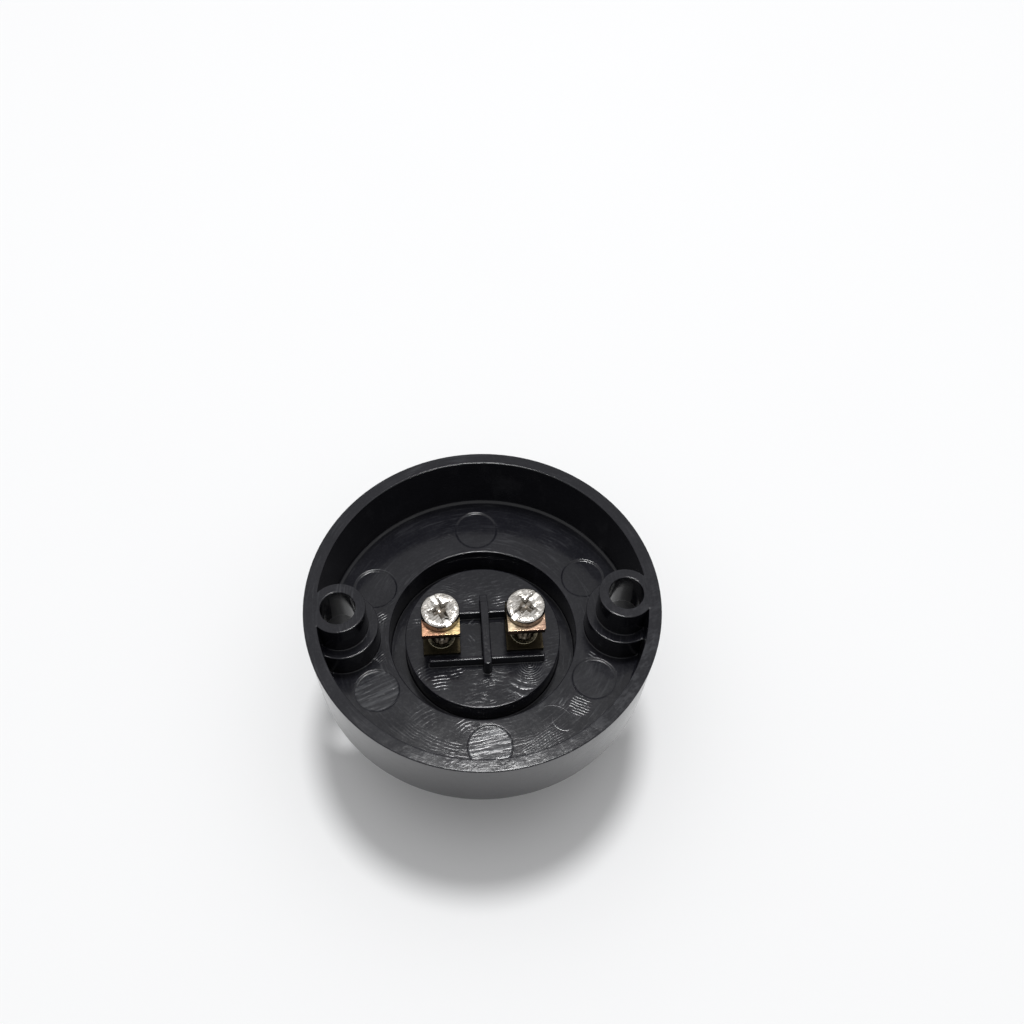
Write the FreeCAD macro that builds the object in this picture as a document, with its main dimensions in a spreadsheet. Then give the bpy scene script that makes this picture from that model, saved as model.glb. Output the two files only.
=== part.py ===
import FreeCAD, Part
import math
import os
import Sketcher

# Surface lamp holder, base up, standing on the lip of its lamp socket.
# Frame: millimetres, +Z out of the open back, +X towards the right fixing hole,
# origin at the centre of the lip that the holder stands on.

os.makedirs("parts", exist_ok=True)
DOC = FreeCAD.newDocument("lamp_holder")
SHEET = DOC.addObject("Spreadsheet::Sheet", "sizes")

# Name, value and meaning of each driving size
SIZES = [
    ("total_height", 48.0, "lip of the socket to the rim of the base"),
    ("rim_radius", 37.5, "outside of the base at its rim"),
    ("rim_wall", 2.7, "wall of the base at its rim"),
    ("base_draft", 0.6, "narrowing of the outside from rim to front face"),
    ("cup_depth", 15.0, "rim to the floor of the base"),
    ("floor_thickness", 3.3, "floor to the front face of the base"),
    ("cup_draft", 0.4, "narrowing of the inside from rim to floor"),
    ("front_edge", 0.9, "bevel of the outer front edge"),
    ("floor_corner", 0.5, "bevel between wall and floor"),
    ("disc_sink", 1.8, "terminal disc below the floor"),
    ("disc_thickness", 3.0, "terminal disc"),
    ("groove_width", 3.4, "ring groove around the terminal disc"),
    ("groove_depth", 8.0, "floor of the base to the bottom of the ring groove"),
    ("groove_web", 2.6, "web that closes the ring groove"),
    ("collar_wall", 2.5, "collar outside the ring groove"),
    ("collar_root", 1.0, "bevel where the collar leaves the base"),
    ("collar_edge", 1.6, "faceted rounding of the outer edge of the collar"),
    ("lip_edge_radius", 1.0, "faceted rounding of the outer edge of the lip"),
    ("socket_wall", 2.8, "inner cylinder around the screw shell"),
    ("mouth_chamfer", 0.8, "chamfer of the socket mouth"),
    ("hole_inset", 7.2, "outside of the rim to the axis of a fixing hole"),
    ("hole_radius", 3.7, "fixing hole"),
    ("tube_radius", 5.8, "boss tube around a fixing hole"),
    ("stage_radius", 7.9, "wider lower stage of a boss"),
    ("stage_drop", 8.0, "rim to the ledge of the lower stage"),
    ("stage_wall", 2.7, "wall around the screw head well"),
    ("shelf_thickness", 2.4, "shelf that the screw head pulls on"),
    ("mark_radius", 4.7, "round ejector mark"),
    ("mark_gap", 1.2, "groove to the ejector marks"),
    ("mark_angle", 28.0, "angle of the side marks from the X axis"),
    ("mark_depth", 0.2, "ejector mark below the floor"),
    ("cross_shift", 0.6, "middle of the barrier cross, off the axis"),
    ("barrier_width", 1.7, "barrier between the terminals"),
    ("barrier_height", 5.0, "barrier above the disc"),
    ("barrier_near", 9.1, "barrier end on the wire side"),
    ("barrier_far", 6.2, "barrier end on the other side"),
    ("tail_length", 2.8, "low tail behind the barrier"),
    ("cross_rib_length", 25.0, "cross rib"),
    ("cross_rib_width", 0.9, "cross rib"),
    ("cross_rib_height", 2.6, "cross rib above the disc"),
    ("near_rib_offset", 6.4, "middle of the wire side cross rib"),
    ("rib_gap", 0.2, "bracket back to the cross rib behind it"),
    ("bracket_sheet", 0.8, "brass of the terminal bracket"),
    ("bracket_width", 8.1, "terminal bracket"),
    ("bracket_height", 8.6, "disc to the top of the bracket"),
    ("bracket_foot", 4.05, "terminal axis to the end of the foot"),
    ("bracket_reach", 3.8, "terminal axis to the end of the tapped leg"),
    ("bracket_bend", 0.3, "inner bend radius of the bracket"),
    ("screw_radius", 2.0, "terminal screw"),
    ("screw_length", 12.0, "terminal screw below its head"),
    ("screw_pitch", 0.7, "advance of the screw in one turn"),
    ("thread_clearance", 0.05, "screw to the tapped hole"),
    ("open_turns", 3.0, "turns by which the screw stands open"),
    ("head_radius", 4.15, "screw head"),
    ("head_height", 2.2, "screw head"),
    ("head_rounding", 0.6, "faceted rounding of the screw head"),
    ("head_gap", 0.1, "float of the clamp plate under the head"),
    ("slot_width", 1.4, "driver slot"),
    ("slot_depth", 0.9, "driver slot"),
    ("recess_span", 2.85, "reach of each cross recess wing"),
    ("recess_width", 1.5, "cross recess wing at the top"),
    ("recess_depth", 1.6, "cross recess"),
    ("recess_taper", 12.0, "slope of the recess walls in degrees"),
    ("left_slot_angle", 115.0, "slot of the left screw in degrees"),
    ("right_slot_angle", 45.0, "slot of the right screw in degrees"),
    ("clamp_sheet", 0.8, "clamp plate"),
    ("clamp_width", 8.1, "clamp plate"),
    ("lip_gap", 0.35, "turned down lip of the plate to the end of the tapped leg"),
    ("clamp_clearance", 0.3, "screw to the hole in the clamp plate"),
    ("clamp_corner", 0.5, "rounding of the free plate corner on the wire side"),
    ("clamp_seat_gap", 0.1, "clamp plate to bracket when closed"),
    ("lip_depth", 0.8, "lip that the plate turns down on the wire side"),
    ("lip_flat", 1.2, "full depth part of the lip"),
    ("lip_length", 3.4, "whole lip along the plate edge"),
    ("tip_clearance", 0.2, "screw end to the bore of the eyelet"),
    ("eyelet_wall", 0.35, "tube of the eyelet"),
    ("eyelet_flange", 0.5, "flange beyond the tube of the eyelet"),
    ("eyelet_sheet", 0.5, "thickness of the eyelet flanges"),
    ("eyelet_clearance", 0.1, "eyelet tube to the holes it joins"),
    ("flange_gap", 0.05, "eyelet flange to the bend of the bracket"),
    ("foot_margin", 0.3, "sheet beyond the eyelet flange at its outer end"),
    ("leg_gap", 0.45, "eyelet flange to the leg of the shell"),
    ("shell_radius", 13.3, "inside of the screw shell"),
    ("shell_sheet", 0.4, "brass of the screw shell"),
    ("shell_start", 4.8, "lip to the mouth of the shell"),
    ("shell_clearance", 0.6, "screw shell to the bore of the housing"),
    ("shell_contact_gap", 0.4, "rolled end of the shell to the level of the centre contact"),
    ("shell_shoulder", 0.7, "inward step of the shell at its rolled end"),
    ("shell_foot_width", 8.0, "leg and foot of the shell"),
    ("contact_sheet", 0.5, "centre contact strip"),
    ("contact_width", 6.0, "centre contact strip"),
    ("contact_neck", 0.85, "eyelet flange to the bend of the spring arm"),
    ("contact_angle", 60.0, "slope of the spring arm in degrees"),
    ("contact_drop", 5.8, "disc to the face that the lamp presses"),
    ("contact_reach", 2.6, "end of the contact face past the axis"),
    ("contact_curl", 1.6, "upturned end of the contact"),
    ("contact_curl_angle", 45.0, "slope of the upturned end in degrees"),
    ("contact_bend", 0.5, "inner bend radius of the contact"),
]

for row, (alias, number, meaning) in enumerate(SIZES, start=1):
    SHEET.set(f"A{row}", alias)
    SHEET.set(f"B{row}", str(number))
    SHEET.set(f"C{row}", meaning)
    SHEET.setAlias(f"B{row}", alias)
DOC.recompute()


class Size:
    """A number together with the spreadsheet expression that gives it."""

    def __init__(self, number, text):
        self.number = number
        self.text = text

    def __add__(self, other):
        other = as_size(other)
        return Size(self.number + other.number, f"({self.text} + {other.text})")

    def __sub__(self, other):
        other = as_size(other)
        return Size(self.number - other.number, f"({self.text} - {other.text})")

    def __mul__(self, other):
        other = as_size(other)
        return Size(self.number * other.number, f"({self.text} * {other.text})")

    def __truediv__(self, other):
        other = as_size(other)
        return Size(self.number / other.number, f"({self.text} / {other.text})")

    def __neg__(self):
        return Size(-self.number, f"(0 - {self.text})")


def as_size(value):
    """Return a plain number as a Size, and a Size as it is."""
    return value if isinstance(value, Size) else Size(float(value), str(float(value)))


def sine(angle):
    """Sine of a size in degrees."""
    return Size(math.sin(math.radians(angle.number)), f"sin({angle.text} * 1 deg)")


def cosine(angle):
    """Cosine of a size in degrees."""
    return Size(math.cos(math.radians(angle.number)), f"cos({angle.text} * 1 deg)")


def tangent(angle):
    """Tangent of a size in degrees."""
    return Size(math.tan(math.radians(angle.number)), f"tan({angle.text} * 1 deg)")


S = {alias: Size(number, f"sizes.{alias}") for alias, number, meaning in SIZES}

# Levels and radii that follow from the driving sizes
RIM_Z = S["total_height"]
FLOOR_Z = RIM_Z - S["cup_depth"]
FRONT_Z = FLOOR_Z - S["floor_thickness"]
DISC_Z = FLOOR_Z - S["disc_sink"]
CEILING_Z = DISC_Z - S["disc_thickness"]
GROOVE_Z = FLOOR_Z - S["groove_depth"]
COLLAR_Z = GROOVE_Z - S["groove_web"]
LEDGE_Z = RIM_Z - S["stage_drop"]
SHELF_Z = LEDGE_Z - S["shelf_thickness"]
HOLE_X = S["rim_radius"] - S["hole_inset"]
CUP_RADIUS = S["rim_radius"] - S["rim_wall"]
FRONT_RADIUS = S["rim_radius"] - S["base_draft"]
SHELL_OUTSIDE = S["shell_radius"] + S["shell_sheet"]
SOCKET_RADIUS = SHELL_OUTSIDE + S["shell_clearance"]
DISC_RADIUS = SOCKET_RADIUS + S["socket_wall"]
GROOVE_RADIUS = DISC_RADIUS + S["groove_width"]
COLLAR_RADIUS = GROOVE_RADIUS + S["collar_wall"]
MARK_RING = GROOVE_RADIUS + S["mark_gap"] + S["mark_radius"]
EYELET_BORE = S["screw_radius"] + S["tip_clearance"]
EYELET_RADIUS = EYELET_BORE + S["eyelet_wall"]
EYELET_HOLE = EYELET_RADIUS + S["eyelet_clearance"]
FLANGE_RADIUS = EYELET_RADIUS + S["eyelet_flange"]
BRACKET_BACK = FLANGE_RADIUS + S["flange_gap"] + S["bracket_bend"] + S["bracket_sheet"]
LEG_RADIUS = S["shell_radius"] - S["shell_shoulder"]
TERMINAL_X = LEG_RADIUS - S["leg_gap"] - FLANGE_RADIUS
CLAMP_NEAR = S["bracket_reach"] + S["lip_gap"] + S["clamp_sheet"]
CLAMP_H = S["bracket_height"] + S["clamp_seat_gap"] + S["screw_pitch"] * S["open_turns"]
HEAD_H = CLAMP_H + S["clamp_sheet"] + S["head_gap"]
FAR_RIB_Y = BRACKET_BACK + S["rib_gap"] + S["cross_rib_width"] / 2

# Share of a strip's width that each corner of its rounded end takes
END_ROUNDING = 0.45
# Reach of the outline that trims the shell, in shell radii
TRIM_REACH = 1.5


def new_body(name):
    """Add an empty body whose label names the node."""
    body = DOC.addObject("PartDesign::Body", name)
    body.Label = name
    return body


def new_sketch(body, name, plane, level=None):
    """Add a sketch on one of the body's own planes, moved along its normal."""
    sketch = body.newObject("Sketcher::SketchObject", name)
    support = [item for item in body.Origin.OriginFeatures if item.Role == plane][0]
    sketch.AttachmentSupport = [(support, "")]
    sketch.MapMode = "FlatFace"
    if level is not None:
        sketch.setExpression(".AttachmentOffset.Base.z", level.text)
    DOC.recompute()
    return sketch


def pin_point(sketch, shape_id, point_id, x, y):
    """Hold a sketch point at the sizes x and y from the sketch origin."""
    for kind, axis, value in (("DistanceX", -2, as_size(x)), ("DistanceY", -1, as_size(y))):
        if value.text == "0.0":
            sketch.addConstraint(Sketcher.Constraint("PointOnObject", shape_id, point_id, axis))
            continue
        rule = Sketcher.Constraint(kind, -1, 1, shape_id, point_id, value.number)
        index = sketch.addConstraint(rule)
        sketch.setExpression(f"Constraints[{index}]", value.text)


def draw_outline(sketch, corners):
    """Draw a closed outline of straight lines through the given corners."""
    points = [FreeCAD.Vector(as_size(x).number, as_size(y).number, 0) for x, y in corners]
    ends = points[1:] + points[:1]
    lines = [sketch.addGeometry(Part.LineSegment(a, b), False) for a, b in zip(points, ends)]
    for line, following in zip(lines, lines[1:] + lines[:1]):
        sketch.addConstraint(Sketcher.Constraint("Coincident", line, 2, following, 1))
    for line, (x, y) in zip(lines, corners):
        pin_point(sketch, line, 1, x, y)


def draw_circle(sketch, x, y, radius):
    """Draw a circle held at x and y."""
    centre = FreeCAD.Vector(as_size(x).number, as_size(y).number, 0)
    up = FreeCAD.Vector(0, 0, 1)
    ring = sketch.addGeometry(Part.Circle(centre, up, radius.number), False)
    index = sketch.addConstraint(Sketcher.Constraint("Radius", ring, radius.number))
    sketch.setExpression(f"Constraints[{index}]", radius.text)
    pin_point(sketch, ring, 3, x, y)


def draw_box(sketch, left, right, low, high):
    """Draw a rectangle between four sizes."""
    draw_outline(sketch, [(left, low), (right, low), (right, high), (left, high)])


def draw_capped_circle(sketch, x, radius, chord):
    """Draw a circle about a point on the X axis, cut off square beyond the chord."""
    rise = math.sqrt(radius.number ** 2 - (chord.number - x.number) ** 2)
    start = math.atan2(rise, chord.number - x.number)
    circle = Part.Circle(FreeCAD.Vector(x.number, 0, 0), FreeCAD.Vector(0, 0, 1), radius.number)
    arc = sketch.addGeometry(Part.ArcOfCircle(circle, start, 2 * math.pi - start), False)
    low = FreeCAD.Vector(chord.number, -rise, 0)
    high = FreeCAD.Vector(chord.number, rise, 0)
    line = sketch.addGeometry(Part.LineSegment(low, high), False)
    sketch.addConstraint(Sketcher.Constraint("Coincident", arc, 2, line, 1))
    sketch.addConstraint(Sketcher.Constraint("Coincident", line, 2, arc, 1))
    sketch.addConstraint(Sketcher.Constraint("Vertical", line))
    index = sketch.addConstraint(Sketcher.Constraint("Radius", arc, radius.number))
    sketch.setExpression(f"Constraints[{index}]", radius.text)
    pin_point(sketch, arc, 3, x, 0)
    rule = Sketcher.Constraint("DistanceX", -1, 1, line, 1, chord.number)
    index = sketch.addConstraint(rule)
    sketch.setExpression(f"Constraints[{index}]", chord.text)


def rounded_corner(x, y, radius, side_x, side_y, steps):
    """Corners that round a square corner in equal steps, from the x side to the y side.

    side_x and side_y are 1 or -1 and point from the corner into the material.
    """
    corners = []
    for step in range(steps + 1):
        angle = math.pi / 2 * step / steps
        in_x = radius * (side_x * (1 - math.sin(angle)))
        in_y = radius * (side_y * (1 - math.cos(angle)))
        corners.append((as_size(x) + in_x, as_size(y) + in_y))
    return corners


def revolve(body, name, sketch):
    """Turn a sketch about its own vertical axis."""
    feature = body.newObject("PartDesign::Revolution", name)
    feature.Profile = sketch
    feature.ReferenceAxis = (sketch, ["V_Axis"])
    feature.Angle = 360
    DOC.recompute()
    return feature


def pad(body, name, sketch, length, midplane=False):
    """Raise a sketch along its normal."""
    feature = body.newObject("PartDesign::Pad", name)
    feature.Profile = sketch
    feature.setExpression("Length", length.text)
    if midplane:
        feature.SideType = "Symmetric"
    DOC.recompute()
    return feature


def pocket(body, name, sketch, depth, taper=None):
    """Sink a sketch against its normal and check that material went away."""
    before = body.Shape.Volume
    feature = body.newObject("PartDesign::Pocket", name)
    feature.Profile = sketch
    feature.setExpression("Length", depth.text)
    if taper is not None:
        feature.setExpression("TaperAngle", taper.text)
    DOC.recompute()
    if not body.Shape.Volume < before:
        raise ValueError(f"{name} cut nothing")
    return feature


def round_edges(body, name, edges, radius):
    """Round the given edges of the body's last feature."""
    base = body.Tip
    feature = body.newObject("PartDesign::Fillet", name)
    feature.Base = (base, edges)
    feature.setExpression("Radius", radius.text)
    DOC.recompute()
    return feature


def line_edges(body, along, places):
    """Names of the straight edges along one axis through the given places."""
    others = [axis for axis in "xyz" if axis != along]
    found = []
    for number, edge in enumerate(body.Tip.Shape.Edges, start=1):
        if not isinstance(edge.Curve, Part.Line):
            continue
        if abs(abs(getattr(edge.Curve.Direction, along)) - 1) > 1e-6:
            continue
        middle = edge.BoundBox.Center
        for place in places:
            sizes = [as_size(item).number for item in place]
            if all(abs(getattr(middle, axis) - size) < 1e-4 for axis, size in zip(others, sizes)):
                found.append(f"Edge{number}")
    return found


def put(body, x, z, angle=None):
    """Place a body at a height on the line of the terminals."""
    body.setExpression(".Placement.Base.x", as_size(x).text)
    body.setExpression(".Placement.Base.z", as_size(z).text)
    if angle is not None:
        body.Placement.Rotation = FreeCAD.Rotation(FreeCAD.Vector(0, 0, 1), angle.number)
        body.setExpression(".Placement.Rotation.Angle", f"{angle.text} * 1 deg")
    DOC.recompute()


def make_housing():
    """Moulded housing: base cup, terminal disc, double walled socket and bosses."""
    body = new_body("housing")
    wall_foot = CUP_RADIUS - S["cup_draft"]
    section = new_sketch(body, "housing_section", "XZ_Plane")
    draw_outline(section, [
        (SOCKET_RADIUS, S["mouth_chamfer"]),
        (SOCKET_RADIUS + S["mouth_chamfer"], 0),
        *rounded_corner(DISC_RADIUS, 0, S["lip_edge_radius"], -1, 1, 2),
        (DISC_RADIUS, COLLAR_Z),
        *rounded_corner(COLLAR_RADIUS, COLLAR_Z, S["collar_edge"], -1, 1, 2),
        (COLLAR_RADIUS, FRONT_Z - S["collar_root"]),
        (COLLAR_RADIUS + S["collar_root"], FRONT_Z),
        (FRONT_RADIUS - S["front_edge"], FRONT_Z),
        (FRONT_RADIUS, FRONT_Z + S["front_edge"]),
        (S["rim_radius"], RIM_Z),
        (CUP_RADIUS, RIM_Z),
        (wall_foot, FLOOR_Z + S["floor_corner"]),
        (wall_foot - S["floor_corner"], FLOOR_Z),
        (GROOVE_RADIUS, FLOOR_Z),
        (GROOVE_RADIUS, GROOVE_Z),
        (DISC_RADIUS, GROOVE_Z),
        (DISC_RADIUS, DISC_Z),
        (0, DISC_Z),
        (0, CEILING_Z),
        (SOCKET_RADIUS, CEILING_Z),
    ])
    revolve(body, "housing_turned", section)

    chord = (CUP_RADIUS + FRONT_RADIUS) / 2
    stage_outline = new_sketch(body, "boss_stage_outline", "XY_Plane", FLOOR_Z)
    draw_capped_circle(stage_outline, HOLE_X, S["stage_radius"], chord)
    stage = pad(body, "boss_stage", stage_outline, LEDGE_Z - FLOOR_Z)
    tube_outline = new_sketch(body, "boss_tube_outline", "XY_Plane", FLOOR_Z)
    draw_circle(tube_outline, HOLE_X, 0, S["tube_radius"])
    tube = pad(body, "boss_tube", tube_outline, RIM_Z - FLOOR_Z)
    hole_outline = new_sketch(body, "fixing_hole_outline", "XY_Plane", RIM_Z)
    draw_circle(hole_outline, HOLE_X, 0, S["hole_radius"])
    hole = pocket(body, "fixing_hole", hole_outline, RIM_Z - SHELF_Z)
    well_outline = new_sketch(body, "head_well_outline", "XY_Plane", SHELF_Z)
    draw_circle(well_outline, HOLE_X, 0, S["stage_radius"] - S["stage_wall"])
    well = pocket(body, "head_well", well_outline, SHELF_Z - FRONT_Z)
    mirrored = body.newObject("PartDesign::Mirrored", "second_boss")
    mirrored.Originals = [stage, tube, hole, well]
    plane = [item for item in body.Origin.OriginFeatures if item.Role == "YZ_Plane"][0]
    mirrored.MirrorPlane = (plane, [""])
    body.Tip = mirrored
    DOC.recompute()

    marks = new_sketch(body, "ejector_mark_outline", "XY_Plane", FLOOR_Z)
    side_x = MARK_RING * cosine(S["mark_angle"])
    side_y = MARK_RING * sine(S["mark_angle"])
    for x, y in ((side_x, side_y), (-side_x, side_y), (-side_x, -side_y), (side_x, -side_y)):
        draw_circle(marks, x, y, S["mark_radius"])
    draw_circle(marks, 0, MARK_RING, S["mark_radius"])
    draw_circle(marks, 0, -MARK_RING, S["mark_radius"])
    pocket(body, "ejector_marks", marks, S["mark_depth"])

    ribs = new_sketch(body, "cross_rib_outline", "XY_Plane", DISC_Z)
    left = S["cross_shift"] - S["cross_rib_length"] / 2
    right = S["cross_shift"] + S["cross_rib_length"] / 2
    half = S["cross_rib_width"] / 2
    draw_box(ribs, left, right, -S["near_rib_offset"] - half, -S["near_rib_offset"] + half)
    draw_box(ribs, left, right, FAR_RIB_Y - half, FAR_RIB_Y + half)
    pad(body, "cross_ribs", ribs, S["cross_rib_height"])
    half = S["barrier_width"] / 2
    left = S["cross_shift"] - half
    right = S["cross_shift"] + half
    wall = new_sketch(body, "barrier_outline", "XY_Plane", DISC_Z)
    draw_box(wall, left, right, -S["barrier_near"], S["barrier_far"])
    pad(body, "barrier", wall, S["barrier_height"])
    places = [(left, -S["barrier_near"]), (right, -S["barrier_near"])]
    rounding = S["barrier_width"] * END_ROUNDING
    round_edges(body, "barrier_end", line_edges(body, "z", places), rounding)
    tail = new_sketch(body, "tail_outline", "XY_Plane", DISC_Z)
    draw_box(tail, left, right, S["barrier_far"], S["barrier_far"] + S["tail_length"])
    pad(body, "barrier_tail", tail, S["cross_rib_height"])

    holes = new_sketch(body, "eyelet_hole_outline", "XY_Plane", DISC_Z)
    draw_circle(holes, TERMINAL_X, 0, EYELET_HOLE)
    draw_circle(holes, -TERMINAL_X, 0, EYELET_HOLE)
    pocket(body, "eyelet_holes", holes, S["disc_thickness"])
    return body


def make_shell():
    """Screw shell of the lamp socket, with a leg and a foot to its eyelet."""
    body = new_body("screw_shell")
    inner = S["shell_radius"]
    outer = SHELL_OUTSIDE
    mouth = S["shell_start"]
    sheet = S["shell_sheet"]
    rolled_end = S["contact_drop"] + S["shell_contact_gap"]
    top = CEILING_Z - rolled_end
    foot_end = TERMINAL_X - FLANGE_RADIUS - S["foot_margin"]
    section = new_sketch(body, "shell_section", "XZ_Plane")
    draw_outline(section, [
        (inner, mouth), (outer, mouth), (outer, top),
        (LEG_RADIUS + sheet, top), (LEG_RADIUS + sheet, CEILING_Z), (foot_end, CEILING_Z),
        (foot_end, CEILING_Z - sheet), (LEG_RADIUS, CEILING_Z - sheet),
        (LEG_RADIUS, top - sheet), (inner, top - sheet),
    ])
    revolve(body, "shell_turned", section)
    trim = new_sketch(body, "shell_trim_outline", "XY_Plane", CEILING_Z)
    far = outer * TRIM_REACH
    half = S["shell_foot_width"] / 2
    draw_outline(trim, [
        (-far, -far), (far, -far), (far, -half), (0, -half),
        (0, half), (far, half), (far, far), (-far, far),
    ])
    pocket(body, "shell_trim", trim, rolled_end)
    hole = new_sketch(body, "shell_hole_outline", "XY_Plane", CEILING_Z)
    draw_circle(hole, TERMINAL_X, 0, EYELET_HOLE)
    pocket(body, "shell_hole", hole, sheet)
    return body


def make_centre_contact():
    """Sprung strip that presses the end of the lamp, riveted at the left eyelet."""
    body = new_body("centre_contact")
    sheet = S["contact_sheet"]
    angle = S["contact_angle"]
    curl = S["contact_curl_angle"]
    drop = S["contact_drop"]
    bend_x = FLANGE_RADIUS + S["contact_neck"] - TERMINAL_X
    mitre = sheet * tangent(angle / 2)
    knee_x = bend_x + (drop - sheet) / tangent(angle) - mitre
    end_x = S["contact_reach"] + S["contact_curl"] * cosine(curl)
    end_z = S["contact_curl"] * sine(curl) - drop
    tail_x = -TERMINAL_X - FLANGE_RADIUS - S["foot_margin"]
    profile = new_sketch(body, "contact_profile", "XZ_Plane")
    draw_outline(profile, [
        (tail_x, 0),
        (bend_x, 0),
        (knee_x + mitre, sheet - drop),
        (S["contact_reach"] - sheet * tangent(curl / 2), sheet - drop),
        (end_x - sheet * sine(curl), end_z + sheet * cosine(curl)),
        (end_x, end_z),
        (S["contact_reach"], -drop),
        (knee_x, -drop),
        (bend_x - mitre, -sheet),
        (tail_x, -sheet),
    ])
    pad(body, "contact_strip", profile, S["contact_width"], midplane=True)
    places = [(bend_x, 0), (knee_x, -drop), (S["contact_reach"], -drop)]
    edges = line_edges(body, "y", places)
    round_edges(body, "contact_outer_bends", edges, S["contact_bend"] + sheet)
    places = [
        (bend_x - mitre, -sheet),
        (knee_x + mitre, sheet - drop),
        (S["contact_reach"] - sheet * tangent(curl / 2), sheet - drop),
    ]
    round_edges(body, "contact_inner_bends", line_edges(body, "y", places), S["contact_bend"])
    hole = new_sketch(body, "contact_hole_outline", "XY_Plane")
    draw_circle(hole, -TERMINAL_X, 0, EYELET_HOLE)
    pocket(body, "contact_hole", hole, sheet)
    put(body, 0, CEILING_Z)
    return body


def make_bracket(name, x):
    """Folded brass terminal bracket: foot, back and tapped leg."""
    body = new_body(name)
    sheet = S["bracket_sheet"]
    back = BRACKET_BACK
    top = S["bracket_height"]
    profile = new_sketch(body, f"{name}_profile", "YZ_Plane")
    draw_outline(profile, [
        (-S["bracket_foot"], 0), (back, 0), (back, top), (-S["bracket_reach"], top),
        (-S["bracket_reach"], top - sheet), (back - sheet, top - sheet),
        (back - sheet, sheet), (-S["bracket_foot"], sheet),
    ])
    pad(body, f"{name}_strip", profile, S["bracket_width"], midplane=True)
    edges = line_edges(body, "x", [(back, 0), (back, top)])
    round_edges(body, f"{name}_outer_bends", edges, S["bracket_bend"] + sheet)
    edges = line_edges(body, "x", [(back - sheet, sheet), (back - sheet, top - sheet)])
    round_edges(body, f"{name}_inner_bends", edges, S["bracket_bend"])
    tapped = new_sketch(body, f"{name}_tapped_outline", "XY_Plane", top)
    draw_circle(tapped, 0, 0, S["screw_radius"] + S["thread_clearance"])
    pocket(body, f"{name}_tapped_hole", tapped, sheet)
    foot = new_sketch(body, f"{name}_foot_outline", "XY_Plane", sheet)
    draw_circle(foot, 0, 0, EYELET_HOLE)
    pocket(body, f"{name}_foot_hole", foot, sheet)
    put(body, x, DISC_Z)
    return body


def make_clamp(name, x):
    """Clamp plate that the screw carries: lip on the wire side, other end round."""
    body = new_body(name)
    sheet = S["clamp_sheet"]
    half = S["clamp_width"] / 2
    near = CLAMP_NEAR
    outline = new_sketch(body, f"{name}_outline", "XY_Plane")
    draw_box(outline, -half, half, -near, half)
    pad(body, f"{name}_plate", outline, sheet)
    round_edges(body, f"{name}_corner", line_edges(body, "z", [(half, -near)]), S["clamp_corner"])
    edges = line_edges(body, "z", [(half, half), (-half, half)])
    round_edges(body, f"{name}_round_end", edges, S["clamp_width"] * END_ROUNDING)
    lip = new_sketch(body, f"{name}_lip_outline", "XZ_Plane", near - sheet)
    draw_outline(lip, [
        (-half, 0), (-half, -S["lip_depth"]),
        (S["lip_flat"] - half, -S["lip_depth"]), (S["lip_length"] - half, 0),
    ])
    pad(body, f"{name}_lip", lip, sheet)
    hole = new_sketch(body, f"{name}_hole_outline", "XY_Plane", sheet)
    draw_circle(hole, 0, 0, S["screw_radius"] + S["clamp_clearance"])
    pocket(body, f"{name}_hole", hole, sheet)
    put(body, x, DISC_Z + CLAMP_H)
    return body


def make_screw(name, x, angle):
    """Terminal screw with a slotted cross recess in its rounded head."""
    body = new_body(name)
    radius = S["screw_radius"]
    length = S["screw_length"]
    head = S["head_radius"]
    top = S["head_height"]
    section = new_sketch(body, f"{name}_section", "XZ_Plane")
    draw_outline(section, [
        (0, -length), (radius, -length), (radius, 0), (head, 0),
        *reversed(rounded_corner(head, top, S["head_rounding"], -1, -1, 2)), (0, top),
    ])
    revolve(body, f"{name}_turned", section)
    slot = new_sketch(body, f"{name}_slot_outline", "XY_Plane", top)
    half = S["slot_width"] / 2
    draw_box(slot, -head, head, -half, half)
    pocket(body, f"{name}_slot", slot, S["slot_depth"])
    recess = new_sketch(body, f"{name}_recess_outline", "XY_Plane", top)
    half = S["recess_width"] / 2
    span = S["recess_span"]
    draw_outline(recess, [
        (span, -half), (span, half), (half, half), (half, span), (-half, span), (-half, half),
        (-span, half), (-span, -half), (-half, -half), (-half, -span), (half, -span), (half, -half),
    ])
    pocket(body, f"{name}_recess", recess, S["recess_depth"], -S["recess_taper"])
    put(body, x, DISC_Z + HEAD_H, angle)
    return body


def make_eyelet(name, x, joined_sheet):
    """Hollow rivet that ties a bracket through the disc to a part of the socket."""
    body = new_body(name)
    top = S["bracket_sheet"] + S["eyelet_sheet"]
    bottom = -S["disc_thickness"] - joined_sheet - S["eyelet_sheet"]
    section = new_sketch(body, f"{name}_section", "XZ_Plane")
    draw_outline(section, [
        (EYELET_BORE, top), (FLANGE_RADIUS, top), (FLANGE_RADIUS, S["bracket_sheet"]),
        (EYELET_RADIUS, S["bracket_sheet"]), (EYELET_RADIUS, bottom + S["eyelet_sheet"]),
        (FLANGE_RADIUS, bottom + S["eyelet_sheet"]), (FLANGE_RADIUS, bottom), (EYELET_BORE, bottom),
    ])
    revolve(body, f"{name}_turned", section)
    put(body, x, DISC_Z)
    return body


left_x = -TERMINAL_X
right_x = TERMINAL_X
nodes = [
    make_housing(),
    make_shell(),
    make_centre_contact(),
    make_bracket("bracket_left", left_x),
    make_bracket("bracket_right", right_x),
    make_clamp("clamp_plate_left", left_x),
    make_clamp("clamp_plate_right", right_x),
    make_screw("terminal_screw_left", left_x, S["left_slot_angle"]),
    make_screw("terminal_screw_right", right_x, S["right_slot_angle"]),
    make_eyelet("eyelet_left", left_x, S["contact_sheet"]),
    make_eyelet("eyelet_right", right_x, S["shell_sheet"]),
]
DOC.recompute()

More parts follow.
